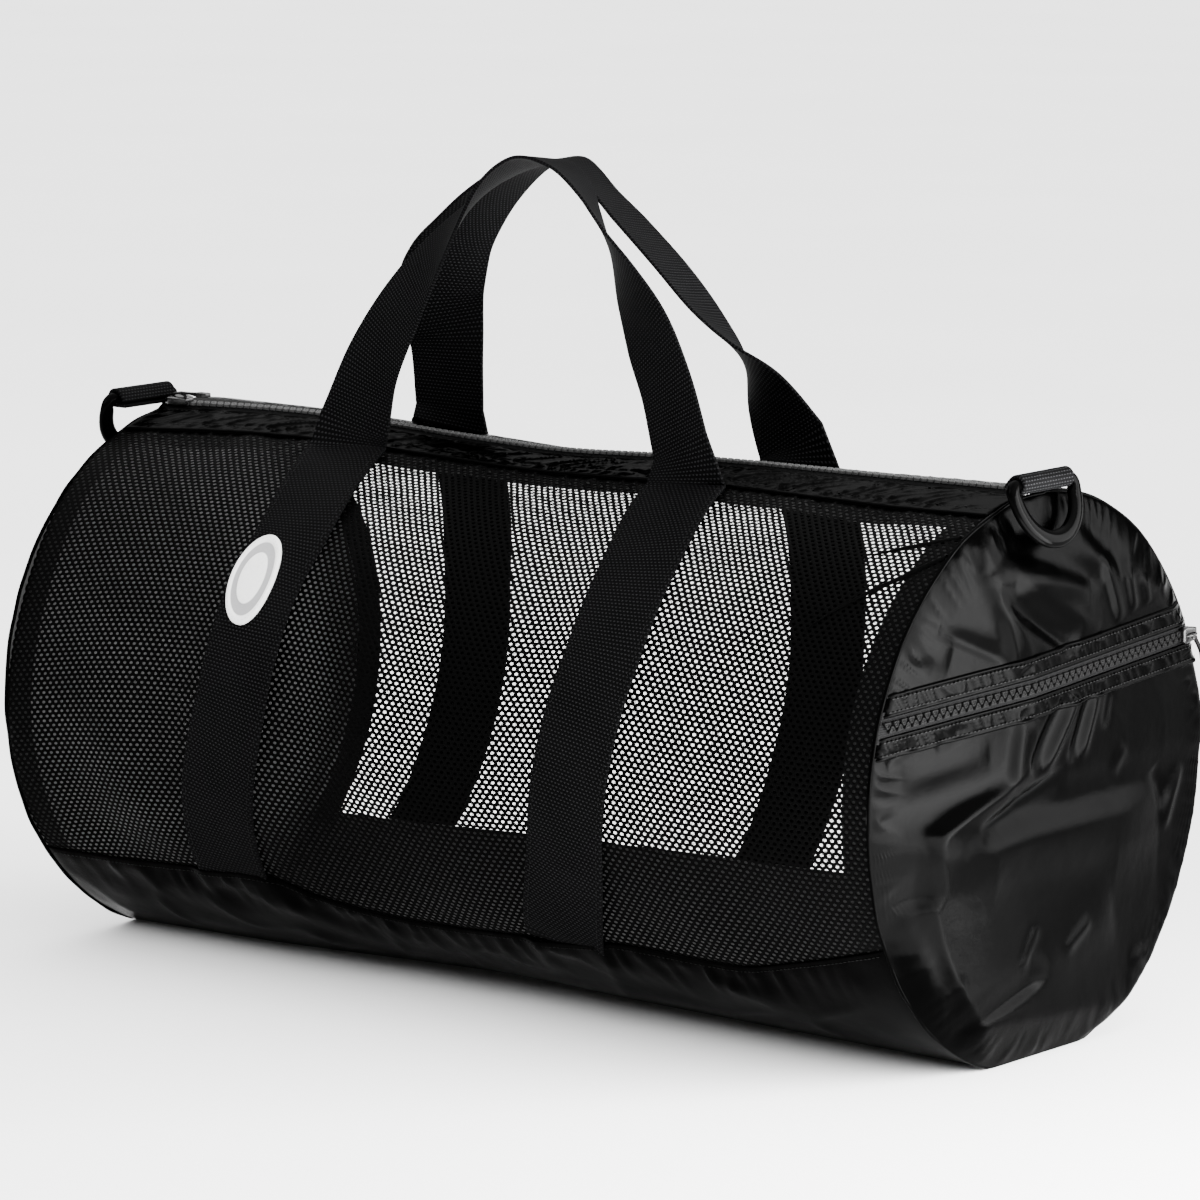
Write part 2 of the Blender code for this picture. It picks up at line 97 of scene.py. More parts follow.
# Zips
MAIN_TOOTH = 4.65 * MM
POCKET_TOOTH = 6.0 * MM
POCKET_FRONT = (-144.6, 197.5)
POCKET_BACK = (137.5, 213.5)
SLIDER_FROM_END = 11.5 * MM
MAIN_SLIDER = (16 * MM, 11 * MM, 5 * MM)
POCKET_SLIDER = (13 * MM, 9 * MM, 4.5 * MM)
MAIN_PULL_LENGTH = 24 * MM
POCKET_PULL_LENGTH = 20 * MM
MAIN_PULL_HINGE = (-293.5 * MM, -24.26 * MM, 311.39 * MM)
POCKET_PULL_HINGE = (319.14 * MM, 124.81 * MM, 212.78 * MM)

# D-rings and badge
RING_BAR = 6.6 * MM
RING_WIDTH = 56 * MM
RING_DEPTH = 33 * MM
RING_CORNER = 6 * MM
RING_LEAN = 19
RING_ROOM = 0.4 * MM
TAB_WIDTH = 45 * MM
TAB_LENGTH = 8 * MM
BADGE_WIDTH = 31 * MM
BADGE_HEIGHT = 54 * MM
BADGE_X = -135 * MM
BADGE_ANGLE = 58

# Stitches: length, width and height of a stitch, and from one to the next
STITCH = (2.3 * MM, 0.5 * MM, 0.4 * MM)
STITCH_PITCH = 3.1 * MM
BADGE_STITCH = (1.8 * MM, 0.45 * MM, 0.4 * MM)
BADGE_STITCH_PITCH = 2.6 * MM

# The barrel's section along its length, in millimetres
Section = namedtuple("Section", "x front_depth back_depth half_height centre_z")
SECTIONS = [
    Section(-305, 160, 148, 157, 147),
    Section(-200, 157, 150, 155.5, 147.5),
    Section(-90, 154.5, 143, 151, 147.5),
    Section(-20, 153.5, 139, 149, 147.5),
    Section(60, 153, 140, 151.5, 148),
    Section(190, 153, 146, 153.5, 148.5),
    Section(305, 152.5, 151, 155, 149),
]

# Where the panels meet, in degrees round the barrel from its top, positive over the front
Seams = namedtuple("Seams", "x zip front_facing back_facing front_base back_base")
SEAMS = [
    Seams(-305, 9, 22, -11, 127, -134.5),
    Seams(-240, 5, 18.5, -12, 127, -134),
    Seams(-175, 3, 16, -13, 126, -133.5),
    Seams(-136, 2.5, 15, -13, 125.6, -133),
    Seams(-96, 2.5, 14.5, -13.5, 131.3, -132.7),
    Seams(-36, 2, 14.5, -14, 135, -132),
    Seams(47, 2, 16, -14, 132.5, -130.7),
    Seams(115, 2, 15.5, -13.5, 129.3, -130),
    Seams(196, 3, 17, -13, 129.3, -129.5),
    Seams(241, 3.5, 18, -12.5, 124.9, -129),
    Seams(305, 4, 18, -12, 117.5, -128.5),
]

# Webbing sewn up the barrel: its middle line
Sewn = namedtuple("Sewn", "angle x")
FRONT_LEFT = [
    Sewn(125.6, -158), Sewn(107, -149), Sewn(88, -135), Sewn(75, -130), Sewn(62, -127.5), Sewn(45, -124.5),
    Sewn(27, -133), Sewn(18, -140),
]
FRONT_RIGHT = [
    Sewn(130.5, 76), Sewn(110, 98), Sewn(94, 107), Sewn(74, 116), Sewn(61, 120), Sewn(42, 118), Sewn(26, 109),
    Sewn(18, 104),
]
BACK_LEFT = [
    Sewn(-133.5, -225), Sewn(-112, -222), Sewn(-91, -216), Sewn(-70, -206), Sewn(-41, -175), Sewn(-18, -144),
]
BACK_RIGHT = [
    Sewn(-130.7, 42), Sewn(-109, 47), Sewn(-87, 56), Sewn(-70, 64), Sewn(-40, 88), Sewn(-18, 111),
]

# Handles in the air: the middle line, and how far the webbing is turned about it from facing front
Carried = namedtuple("Carried", "x y z turn")
FRONT_LOOP = [
    Carried(-138, -46, 308, 0), Carried(-129, -41, 342, -15), Carried(-110, -35, 379, -28),
    Carried(-90, -30, 408, -44), Carried(-66, -27, 435, -64), Carried(-41, -26, 455, -84),
    Carried(-16, -26, 464, -97), Carried(6, -27, 456, -110), Carried(22, -29, 440, -121),
    Carried(36, -31, 421, -129), Carried(52, -34, 398, -146), Carried(70, -38, 373, -160),
    Carried(86, -42, 346, -163), Carried(99, -46, 315, -166),
]
BACK_LOOP = [
    Carried(-144, 46, 308, 0), Carried(-144, 43, 348, 8), Carried(-146, 40, 376, 36),
    Carried(-136, 36, 400, 64), Carried(-120, 33, 418, 78), Carried(-97, 30, 438, 86),
    Carried(-73, 28, 453, 90), Carried(-52, 28, 459, 88), Carried(-36, 28, 456, 80),
    Carried(-18, 30, 444, 72), Carried(2, 33, 426, 74), Carried(28, 36, 402, 74),
    Carried(52, 40, 376, 70), Carried(70, 43, 357, 58), Carried(87, 45, 335, 26),
    Carried(104, 47, 308, 2),
]

# Folds of the ends, from one point to another. Skew above 0 makes one steeper below its line, and skew
# below 0 makes it steeper above it.
Fold = namedtuple("Fold", "y0 z0 y1 z1 width height skew", defaults=[0.0])
RIGHT_FOLDS = [
    Fold(-122, 121, 106, 121, 24, 5.0, -0.8),
    Fold(-60, 108, 60, 96, 16, -1.6),
    Fold(-90, 27, -5, 47, 6, -2.4, 0.8),
    Fold(-20, 52, 60, 70, 18, 1.8),
    Fold(-132, 96, -90, 24, 9, 3.0, -0.5),
    Fold(-148, 100, -112, 108, 7, -1.6, 0.5),
    Fold(-136, 74, -120, 58, 5, -1.4),
    Fold(-58, 292, -62, 262, 9, 2.6, 0.8),
    Fold(-62, 268, -36, 214, 9, 2.8, 0.8),
    Fold(-52, 284, 44, 252, 9, -2.2, 0.4),
    Fold(-50, 270, 30, 250, 8, 2.2),
    Fold(-56, 256, 16, 218, 7, -2.6, 0.6),
    Fold(-40, 262, 40, 226, 8, 1.8),
    Fold(-100, 243, -46, 220, 4, -1.6, 0.5),
    Fold(-132, 230, -104, 223, 4, -1.1, 0.3),
    Fold(-122, 238, -90, 228, 9, 1.3),
    Fold(28, 288, 66, 256, 8, -2.2, 0.3),
    Fold(44, 266, 60, 228, 5, 1.8, 0.4),
    Fold(68, 256, 74, 232, 4, 1.4),
    Fold(84, 250, 88, 234, 4, 1.0),
    Fold(6, 196, -30, 160, 6, -2.4, 0.5),
    Fold(18, 194, -14, 158, 4, 2.2),
    Fold(30, 194, 10, 158, 5, -1.8, 0.4),
    Fold(38, 194, 22, 160, 3.5, 1.6),
    Fold(50, 194, 44, 172, 4, -1.0),
    Fold(8, 156, -76, 134, 6, -2.2, 0.8),
    Fold(-34, 190, -42, 152, 8, 2.6, 0.8),
    Fold(-42, 156, -118, 136, 9, 2.4, 0.8),
    Fold(-140, 178, -118, 186, 4, -1.3, 0.3),
    Fold(-102, 182, -78, 190, 4, -1.3, 0.3),
    Fold(-128, 168, -60, 174, 8, 1.2),
    Fold(55, 146, 66, 160, 5, 0.9),
    Fold(110, 106, 128, 140, 5, 1.5, 0.3),
    Fold(98, 142, 112, 120, 5, -1.0),
    Fold(8, 56, 34, 70, 4, 1.2),
    Fold(-30, 54, -17, 76, 4, 1.1),
    Fold(76, 38, 104, 40, 6, 1.6),
    Fold(-100, 46, -84, 58, 4, 0.9),
]
LEFT_FOLDS = [
    Fold(-100, 200, 20, 150, 14, 3.0, 0.4), Fold(30, 230, 100, 120, 13, -3.0, 0.3),
    Fold(-80, 70, 60, 60, 15, 3.0, 0.4), Fold(-40, 280, 30, 220, 9, -2.0, 0.3),
    Fold(-120, 150, -60, 90, 9, 2.0, 0.5), Fold(60, 60, 110, 100, 8, 1.8),
    Fold(-20, 130, 60, 110, 7, 1.8, 0.5), Fold(-90, 250, -30, 200, 7, 1.6, 0.4),
    Fold(0, 200, 90, 190, 7, -1.6, 0.4),
]

# The right end's nylon rises from its rims by these slopes
FRONT_SLOPE = 0.42
BACK_SLOPE = 1.2
TOP_SLOPE = 0.30
BOTTOM_SLOPE = 0.45
FALL_BEHIND_BROW = 0.04
FLAT_HEIGHT = END_BULGE + 2.5 * MM

# From the front rim it rises to this line, and lies nearly flat behind it
Brow = namedtuple("Brow", "z y")
BROW = [
    Brow(10, -52), Brow(31, -76), Brow(58, -102), Brow(83, -119), Brow(96, -115), Brow(107, -105),
    Brow(136, -106), Brow(146, -77), Brow(156, -40), Brow(170, -25), Brow(192, -27), Brow(221, -29),
    Brow(244, -45), Brow(264, -51), Brow(283, -50), Brow(295, -38),
]


def along(table, column, position):
    """Smooth values of a table's column, with the table's first column as the position."""
    key = table[0]._fields[0]
    rows = sorted(table, key=lambda row: getattr(row, key))
    places = np.array([getattr(row, key) for row in rows], float)
    values = np.array([getattr(row, column) for row in rows], float)
    slopes = np.empty(len(rows))
    slopes[1:-1] = (values[2:] - values[:-2]) / (places[2:] - places[:-2])
    slopes[0] = (values[1] - values[0]) / (places[1] - places[0])
    slopes[-1] = (values[-1] - values[-2]) / (places[-1] - places[-2])
    position = np.clip(position, places[0], places[-1])
    i = np.clip(np.searchsorted(places, position) - 1, 0, len(places) - 2)
    span = places[i + 1] - places[i]
    t = (position - places[i]) / span
    return (
        (2 * t ** 3 - 3 * t ** 2 + 1) * values[i]
        + (t ** 3 - 2 * t ** 2 + t) * span * slopes[i]
        + (3 * t ** 2 - 2 * t ** 3) * values[i + 1]
        + (t ** 3 - t ** 2) * span * slopes[i + 1]
    )


def seam(column, x):
    """The angle of one of the seams at x."""
    return along(SEAMS, column, np.asarray(x) / MM)


def section(x):
    """Depth to the front and to the back, half height and centre height of the barrel at x."""
    return [along(SECTIONS, column, np.asarray(x) / MM) * MM for column in Section._fields[1:]]


def barrel(x, angle, lift=0.0):
    """Points on the outside of the barrel, or a little way out from it. The floor flattens it."""
    x, angle, lift = np.broadcast_arrays(x, angle, lift)
    front, back, height, centre = section(x)
    turn = np.radians(angle)
    depth = np.where(np.sin(turn) > 0, front, back)
    out_y = -np.sin(turn) / depth
    out_z = np.cos(turn) / height
    size = np.hypot(out_y, out_z)
    y = -depth * np.sin(turn) + out_y / size * lift
    z = centre + height * np.cos(turn) + out_z / size * lift
    return np.stack((x, y, np.maximum(z, lift)), -1)


def girth_degrees(x, width):
    """How many degrees round the barrel a width of cloth takes up."""
    return np.degrees(width / section(x)[2])


def spread(*parts):
    """Arrays that fit each other as one array, with the parts along its last axis."""
    return np.stack(np.broadcast_arrays(*parts), -1)


def unit(ways):
    """Rows of vectors at length 1."""
    return ways / np.linalg.norm(ways, axis=1)[:, None]


def run_along(points):
    """How far along a line each of its points lies."""
    return np.concatenate(([0], np.cumsum(np.linalg.norm(np.diff(points, axis=0), axis=1))))


def smooth(low, high, value):
    """0 below low, 1 above high, and an even rise between them."""
    t = np.clip((value - low) / (high - low), 0, 1)
    return t * t * (3 - 2 * t)


def ripples(u, v, size, seed, count=12):
    """Uneven waves over a piece of cloth, about 1 high and of a given size."""
    chance = np.random.default_rng(seed)
    total = 0
    for _ in range(count):
        heading = chance.uniform(0, math.pi)
        length = size * chance.uniform(0.65, 1.6)
        phase = chance.uniform(0, math.tau)
        total = total + np.sin((u * math.cos(heading) + v * math.sin(heading)) * math.tau / length + phase)
    return total / math.sqrt(count / 2)


def creases(u, v, size, seed):
    """Narrow ridges between the waves, as thin crisp cloth has."""
    return np.exp(-2.2 * np.abs(ripples(u, v, size, seed)))


def lips(near, far):
    """The rounded folds along both edges of a strip, from the distances to them."""
    return sum(np.exp(-((edge - 0.9 * MM) / (0.8 * MM)) ** 2) for edge in (near, far))


def fold_height(folds, y, z):
    """Sum of the ridges and creases at places on an end panel."""
    total = np.zeros(np.shape(y))
    for fold in folds:
        run = Vector((fold.y1 - fold.y0, fold.z1 - fold.z0))
        reach_y = y / MM - fold.y0
        reach_z = z / MM - fold.z0
        t = (reach_y * run.x + reach_z * run.y) / run.length_squared
        off = (reach_z * run.x - reach_y * run.y) / run.length / fold.width
        off = off * np.where(off < 0, 2 ** fold.skew, 2 ** -fold.skew)
        ends = np.where((t > 0) & (t < 1), 1 - (2 * t - 1) ** 4, 0)
        total += fold.height * MM * np.exp(-off * off) * ends
    return total


def brow_height(y, z, front, back, height, centre):
    """How far the right end stands out: even slopes in from its rims, and a flat part behind the brow."""
    rim = np.sqrt(np.maximum(1 - ((z - centre) / height) ** 2, 0.0))
    from_front = y + front * rim
    brow = np.maximum(along(BROW, "y", z / MM) * MM + front * rim, 6 * MM)
    reach = np.where(y < 0, y / front, y / back)
    top = centre + height * np.sqrt(np.maximum(1 - reach ** 2, 0.0))
    rise = FLAT_HEIGHT * np.minimum(from_front / np.maximum(brow, FLAT_HEIGHT / FRONT_SLOPE), 1.0)
    rise = rise - FALL_BEHIND_BROW * np.maximum(from_front - brow, 0.0)
    slopes = (rise, BACK_SLOPE * (back * rim - y), TOP_SLOPE * (top - z), BOTTOM_SLOPE * z)
    soft = 0.7 * MM
    return np.maximum(-soft * np.log(sum(np.exp(-slope / soft) for slope in slopes)) + 0.6 * MM, 0.0)


def end_surface(side, y, z, lift=0.0):
    """Points on the outside of an end: at the rim seam, bulged within it, creased and gathered."""
    front, back, height, centre = section(side * HALF_LENGTH)
    depth = np.where(y < 0, front, back)
    up = (z - centre) / height
    out = np.hypot(y / depth, up)
    out = np.minimum(np.maximum(out, (centre - z) / centre), 1.0)
    bulge = END_BULGE * (1 - out ** 5) ** 0.75
    if side > 0:
        bulge = brow_height(y, z, front, back, height, centre)
    angle = np.arctan2(y, z - centre)
    girth = angle * height
    near_rim = np.exp(-((1 - out) / 0.085) ** 2)
    gather = creases(girth, out * 0.03, 0.017, 5 + side) * near_rim * 2.2 * MM
    folds = fold_height(RIGHT_FOLDS if side > 0 else LEFT_FOLDS, y, z)
    crumple = creases(y, z, 0.085, 11 + side) * (0.35 - 0.25 * side) * MM
    crumple = crumple + ripples(y, z, 0.05, 17 + side) * (0.14 - 0.08 * side) * MM
    inner = 1 - out ** 14
    x = HALF_LENGTH + bulge + (folds + gather + crumple) * inner + lift
    return np.stack((side * x, y, z), -1)


class Value:
    """A socket of a node tree, so that sums on it are written as sums."""

    def __init__(self, graph, socket):
        self.graph = graph
        self.socket = socket

    def __add__(self, other):
        return self.graph.math("ADD", self, other)

    def __sub__(self, other):
        return self.graph.math("SUBTRACT", self, other)

    def __rsub__(self, other):
        return self.graph.math("SUBTRACT", other, self)

    def __mul__(self, other):
        return self.graph.math("MULTIPLY", self, other)

    def __truediv__(self, other):
        return self.graph.math("DIVIDE", self, other)

    def __pow__(self, other):
        return self.graph.math("POWER", self, other)

    __radd__ = __add__
    __rmul__ = __mul__

    def wave(self, length):
        """A sine wave of that length."""
        return self.graph.math("SINE", self * (math.tau / length))

    def size(self):
        return self.graph.math("ABSOLUTE", self)

    def rise(self, low, high):
        """0 below low, 1 above high, smooth between."""
        return self.graph.read("ShaderNodeMapRange", "Result", {"interpolation_type": "SMOOTHSTEP"},
                               {"Value": self, "From Min": low, "From Max": high})


class Graph:
    """A node tree that is built by calls."""

    def __init__(self, tree):
        self.tree = tree

    def feed(self, socket, value):
        if isinstance(value, Value):
            self.tree.links.new(value.socket, socket)
        else:
            socket.default_value = value

    def node(self, kind, settings=None, inputs=None):
        made = self.tree.nodes.new(kind)
        for key, value in (settings or {}).items():
            setattr(made, key, value)
        for key, value in (inputs or {}).items():
            self.feed(made.inputs[key], value)
        return made

    def read(self, kind, output, settings=None, inputs=None):
        return Value(self, self.node(kind, settings, inputs).outputs[output])

    def math(self, operation, *values):
        made = self.node("ShaderNodeMath", {"operation": operation})
        for socket, value in zip(made.inputs, values):
            self.feed(socket, value)
        return Value(self, made.outputs[0])


class Finish(Graph):
    """A material whose colour, roughness and relief are worked out from the place on the piece."""

    def __init__(self, name, specular=0.5, sheen=0.0):
        self.material = bpy.data.materials.new(name)
        self.material.use_nodes = True
        super().__init__(self.material.node_tree)
        self.surface = self.tree.nodes["Principled BSDF"]
        self.surface.inputs["Specular IOR Level"].default_value = specular
        self.surface.inputs["Sheen Weight"].default_value = sheen
        self.surface.inputs["Sheen Roughness"].default_value = 0.4
        self.place = self.read("ShaderNodeTexCoord", "Object")

    def pattern(self):
        """Where a place lies on the flat cloth, in millimetres along and across."""
        flat = self.node("ShaderNodeUVMap", {"uv_map": "UVMap"})
        parts = self.node("ShaderNodeSeparateXYZ", inputs={"Vector": Value(self, flat.outputs["UV"])})
        return Value(self, parts.outputs["X"]) * 1000, Value(self, parts.outputs["Y"]) * 1000

    def noise(self, size, detail=2.0, roughness=0.5):
        """Cloudy variation with patches of that size, in metres."""
        return self.read("ShaderNodeTexNoise", "Fac", {},
                         {"Vector": self.place, "Scale": 1 / size, "Detail": detail, "Roughness": roughness})

    def mix(self, share, first, second):
        """A colour between two, by a share of 0 to 1. A single number stands for a grey."""
        made = self.node("ShaderNodeMix", {"data_type": "RGBA"})
        self.feed(made.inputs[0], share)
        for socket, colour in ((made.inputs[6], first), (made.inputs[7], second)):
            self.feed(socket, colour if isinstance(colour, Value) else (*np.broadcast_to(colour, 3), 1))
        return Value(self, made.outputs[2])

    def relief(self, height, depth, strength=1.0):
        """Relief from a height of 0 to 1, so deep in metres."""
        made = self.node("ShaderNodeBump", {}, {"Height": height, "Distance": depth, "Strength": strength})
        self.tree.links.new(made.outputs["Normal"], self.surface.inputs["Normal"])

    def done(self, colour, roughness):
        self.feed(self.surface.inputs["Base Color"], colour)
        self.feed(self.surface.inputs["Roughness"], roughness)
        return self.material


def nylon(name):
    """Black plain-woven nylon: fine crossed threads, a soft shine and small wrinkles."""
    made = Finish(name, specular=0.0052)
    u, v = made.pattern()
    cloud = made.noise(0.06, 3)
    grain = made.noise(0.0011, 2, 0.7)
    weave = u.wave(0.84) * v.wave(0.84)
    wrinkle = made.noise(0.017, 4, 0.55)
    made.relief(weave * 0.02 + grain * 0.035 + wrinkle * 0.5, 1.1 * MM, 0.55)
    colour = made.mix(cloud * 0.5 + grain * 0.5, 0.00002, 0.0001)
    return made.done(colour, 0.13 + cloud * 0.03 + grain * 0.06)


def coated(name, dark, light):
    """The coated inner side of the nylon: dark grey, smooth, with faint threads."""
    made = Finish(name, specular=0.1)
    u, v = made.pattern()
    cloud = made.noise(0.05, 3)
    grain = made.noise(0.0012, 2, 0.7)
    made.relief(u.wave(1.0) * v.wave(1.0) * 0.2 + grain * 0.4 + cloud, 0.6 * MM, 0.4)
    colour = made.mix(cloud * 0.6 + grain * 0.4, dark, light)
    return made.done(colour, 0.5 + grain * 0.1)


def net_thread(name):
    """Knitted net: matt black thread with a fine twist."""
    made = Finish(name, specular=0.008)
    twist = made.noise(0.0007, 2, 0.6)
    cloud = made.noise(0.05, 2)
    made.relief(twist, 0.25 * MM, 0.7)
    colour = made.mix(twist * 0.7 + cloud * 0.3, 0.0002, 0.0009)
    return made.done(colour, 0.50 + twist * 0.2)


def webbing(name):
    """Woven strap: rows of small raised ribs that change places from row to row."""
    made = Finish(name, specular=0.004)
    u, v = made.pattern()
    rows = v.wave(2.05) * 0.5 + 0.5
    knots = u.wave(2.5) * v.wave(4.1) * 0.7 + 0.5
    fuzz = made.noise(0.0006, 2, 0.6)
    cloud = made.noise(0.035, 2)
    raised = (rows * (knots * 0.75 + 0.25)).rise(0.30, 0.90)
    made.relief(raised * 0.85 + fuzz * 0.15, 0.5 * MM, 0.9)
    # The raised ribs are coloured lighter than the gaps between them: painted highlight on the ribs and
    # painted shade in the gaps
    colour = made.mix(raised * 0.8 + fuzz * 0.1 + cloud * 0.1, 0.0001, (0.011, 0.011, 0.0115))
    return made.done(colour, 0.5 + fuzz * 0.15)


def zip_tape(name):
    """Zip tape: fine ribs along it and a thicker cord next to the teeth."""
    made = Finish(name, specular=0.02)
    u, v = made.pattern()
    ribs = v.wave(1.3) * 0.5 + 0.5
    threads = u.wave(0.9) * 0.5 + 0.5
    fuzz = made.noise(0.0008, 2, 0.6)
    made.relief(ribs * 0.6 + threads * 0.3 + fuzz * 0.1, 0.3 * MM, 0.8)
    # The ribs are coloured lighter than the grooves between them: painted shade in the grooves
    colour = made.mix(ribs * 0.5 + fuzz * 0.5, 0.0003, (0.002, 0.002, 0.0021))
    return made.done(colour, 0.6 + fuzz * 0.15)


def moulded(name, dark, light, rough, specular=0.5, metallic=0.0):
    """Moulded or cast surface: slight flow marks, dust in places and rubbed spots."""
    made = Finish(name, specular=specular)
    made.surface.inputs["Metallic"].default_value = metallic
    flow = made.noise(0.012, 3)
    dust = made.noise(0.0009, 3, 0.7)
    made.relief(flow * 0.5 + dust * 0.5, 0.08 * MM, 0.6)
    colour = made.mix(flow * 0.6 + dust.rise(0.55, 0.8) * 0.4, dark, light)
    return made.done(colour, rough + flow * 0.10 + dust.rise(0.5, 0.8) * 0.15)


def badge_plastic(name):
    """Soft pale plastic: white rim, grey band and a pale middle, with dust in patches."""
    made = Finish(name, specular=0.4)
    u, v = made.pattern()
    out = made.math("SQRT", (u / (BADGE_WIDTH / 2 / MM)) ** 2 + (v / (BADGE_HEIGHT / 2 / MM)) ** 2)
    band = out.rise(0.55, 0.58) * (1 - out.rise(0.80, 0.83))
    dust = made.noise(0.002, 3, 0.6)
    grain = made.noise(0.0006, 2)
    base = made.mix(band, (0.70, 0.70, 0.69), (0.24, 0.24, 0.245))
    made.relief(grain, 0.06 * MM, 0.5)
    colour = made.mix(dust.rise(0.45, 0.75) * 0.18, base, (0.35, 0.35, 0.34))
    return made.done(colour, 0.42 + grain * 0.15)


def shaped(mesh, *steps):
    """The mesh after some modifiers, each a type and its settings."""
    obj = bpy.data.objects.new("work", mesh)
    bpy.context.scene.collection.objects.link(obj)
    for kind, settings in steps:
        modifier = obj.modifiers.new(kind, kind)
        for key, value in settings.items():
            setattr(modifier, key, value)
    return evaluated(obj)


def evaluated(obj):
    """The plain mesh that an object's curve or modifiers make. The object is removed."""
    made = bpy.data.meshes.new_from_object(obj.evaluated_get(bpy.context.evaluated_depsgraph_get()))
    source = obj.data
    bpy.data.objects.remove(obj, do_unlink=True)
    bpy.data.batch_remove([source])
    return made


def add_piece(name, mesh, finish, body="bag", nodes=()):
    """Put a finished mesh in the scene on its body, in place of the solids that it stands for."""
    mesh.materials.clear()
    mesh.materials.append(finish)
    mesh.name = name
    mesh.shade_smooth()
    piece = bpy.data.objects.new(name, mesh)
    bpy.context.scene.collection.objects.link(piece)
    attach(piece, body)
    if nodes:
        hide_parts(*nodes)


def grid_mesh(name, points, pattern, keep=None):
    """Quads from rows of points, with a UV map that gives the place on the flat cloth in metres."""
    rows, columns = points.shape[:2]
    index = np.arange(rows * columns).reshape(rows, columns)
    corners = np.stack((index[:-1, :-1], index[:-1, 1:], index[1:, 1:], index[1:, :-1]), -1)
    corners = corners.reshape(-1, 4) if keep is None else corners[keep]
    mesh = bpy.data.meshes.new(name)
    mesh.from_pydata(points.reshape(-1, 3).tolist(), [], corners.tolist())
    layer = mesh.uv_layers.new(name="UVMap")
    layer.data.foreach_set("uv", pattern.reshape(-1, 2)[corners.ravel()].astype(np.float32).ravel())
    return mesh


def merged(name, meshes):
    """Several meshes as one."""
    work = bmesh.new()
    for mesh in meshes:
        work.from_mesh(mesh)
        bpy.data.meshes.remove(mesh)
    made = bpy.data.meshes.new(name)
    work.to_mesh(made)
    work.free()
    return made


def joined(mesh, outward=False):
    """Close the seam of a mesh whose first and last rows or columns lie on each other."""
    work = bmesh.new()
    work.from_mesh(mesh)
    bmesh.ops.remove_doubles(work, verts=work.verts, dist=0.01 * MM)
    if outward:
        bmesh.ops.recalc_face_normals(work, faces=work.faces)
    work.to_mesh(mesh)
    work.free()
    return mesh


def wall(mesh, thickness):
    """Thicken a sheet to its inner side."""
    return shaped(mesh, ("SOLIDIFY", {"thickness": thickness, "offset": -1}))


def turned_under(count, edge, lift):
    """Shares from 0 to 1 with a hem at both ends, and how deep each row lies below the cloth."""
    shares = np.concatenate(([0, 0], np.linspace(edge, 1 - edge, count), [1, 1]))
    depth = np.zeros(len(shares))
    depth[0] = depth[-1] = -lift
    depth[1] = depth[-2] = -lift * 0.25
    return shares, depth


def new_tree(name, **inputs):
    """A node tree with named inputs of given kinds: its graph, and a value for each input."""
    tree = bpy.data.node_groups.new(name, "GeometryNodeTree")
    for label, kind in inputs.items():
        tree.interface.new_socket(name=label, in_out="INPUT", socket_type="NodeSocket" + kind)
    tree.interface.new_socket(name="Geometry", in_out="OUTPUT", socket_type="NodeSocketGeometry")
    g = Graph(tree)
    given = g.node("NodeGroupInput")
    return g, [Value(g, socket) for socket in given.outputs[:len(inputs)]]


def finished_tree(g, geometry, material):
    """The tree of a graph, ended with its instances made real and its material set."""
    geometry = g.read("GeometryNodeRealizeInstances", "Geometry", {}, {"Geometry": geometry})
    geometry = g.read("GeometryNodeSetMaterial", "Geometry", {}, {"Geometry": geometry, "Material": material})
    g.feed(g.node("NodeGroupOutput").inputs[0], geometry)
    return g.tree


def make_net_tree():
    """Node tree for a flat net: a staggered lattice, its cells, and a hole in each cell."""
    g, values = new_tree("flat_net", Length="Float", Width="Float", Pitch="Float", Row="Float", Hole="Float",
                         Relief="Float", Material="Material")
    length, width, pitch, row, hole, relief, material = values
    columns = g.math("CEIL", length / pitch) + 2
    rows = g.math("CEIL", width / row) + 1
    grid = g.read("GeometryNodeMeshGrid", "Mesh", {}, {
        "Size X": (columns - 1) * pitch, "Size Y": (rows - 1) * row,
        "Vertices X": columns, "Vertices Y": rows})
    place = g.node("ShaderNodeSeparateXYZ", {}, {"Vector": g.read("GeometryNodeInputPosition", "Position")})
    level = g.math("ROUND", Value(g, place.outputs["Y"]) / row + (rows - 1) * 0.5)
    shift = g.math("MODULO", level, 2.0) * pitch * 0.5
    offset = g.read("ShaderNodeCombineXYZ", "Vector", {}, {"X": shift, "Y": (rows - 1) * row * 0.5})
    grid = g.read("GeometryNodeSetPosition", "Geometry", {}, {"Geometry": grid, "Offset": offset})
    grid = g.read("GeometryNodeTriangulate", "Mesh", {"quad_method": "SHORTEST_DIAGONAL"}, {"Mesh": grid})
    cells = g.read("GeometryNodeDualMesh", "Dual Mesh", {}, {"Mesh": grid})
    cut = g.node("GeometryNodeExtrudeMesh", {"mode": "FACES"},
                 {"Mesh": cells, "Offset Scale": 0.0, "Individual": True})
    middle = Value(g, cut.outputs["Top"])
    net = g.read("GeometryNodeScaleElements", "Geometry", {},
                 {"Geometry": Value(g, cut.outputs["Mesh"]), "Selection": middle, "Scale": hole})
    drop = g.read("ShaderNodeCombineXYZ", "Vector", {}, {"Z": relief * -1})
    net = g.read("GeometryNodeSetPosition", "Geometry", {},
                 {"Geometry": net, "Selection": middle, "Offset": drop})
    net = g.read("GeometryNodeDeleteGeometry", "Geometry", {"domain": "FACE"},
                 {"Geometry": net, "Selection": middle})
    return finished_tree(g, net, material)


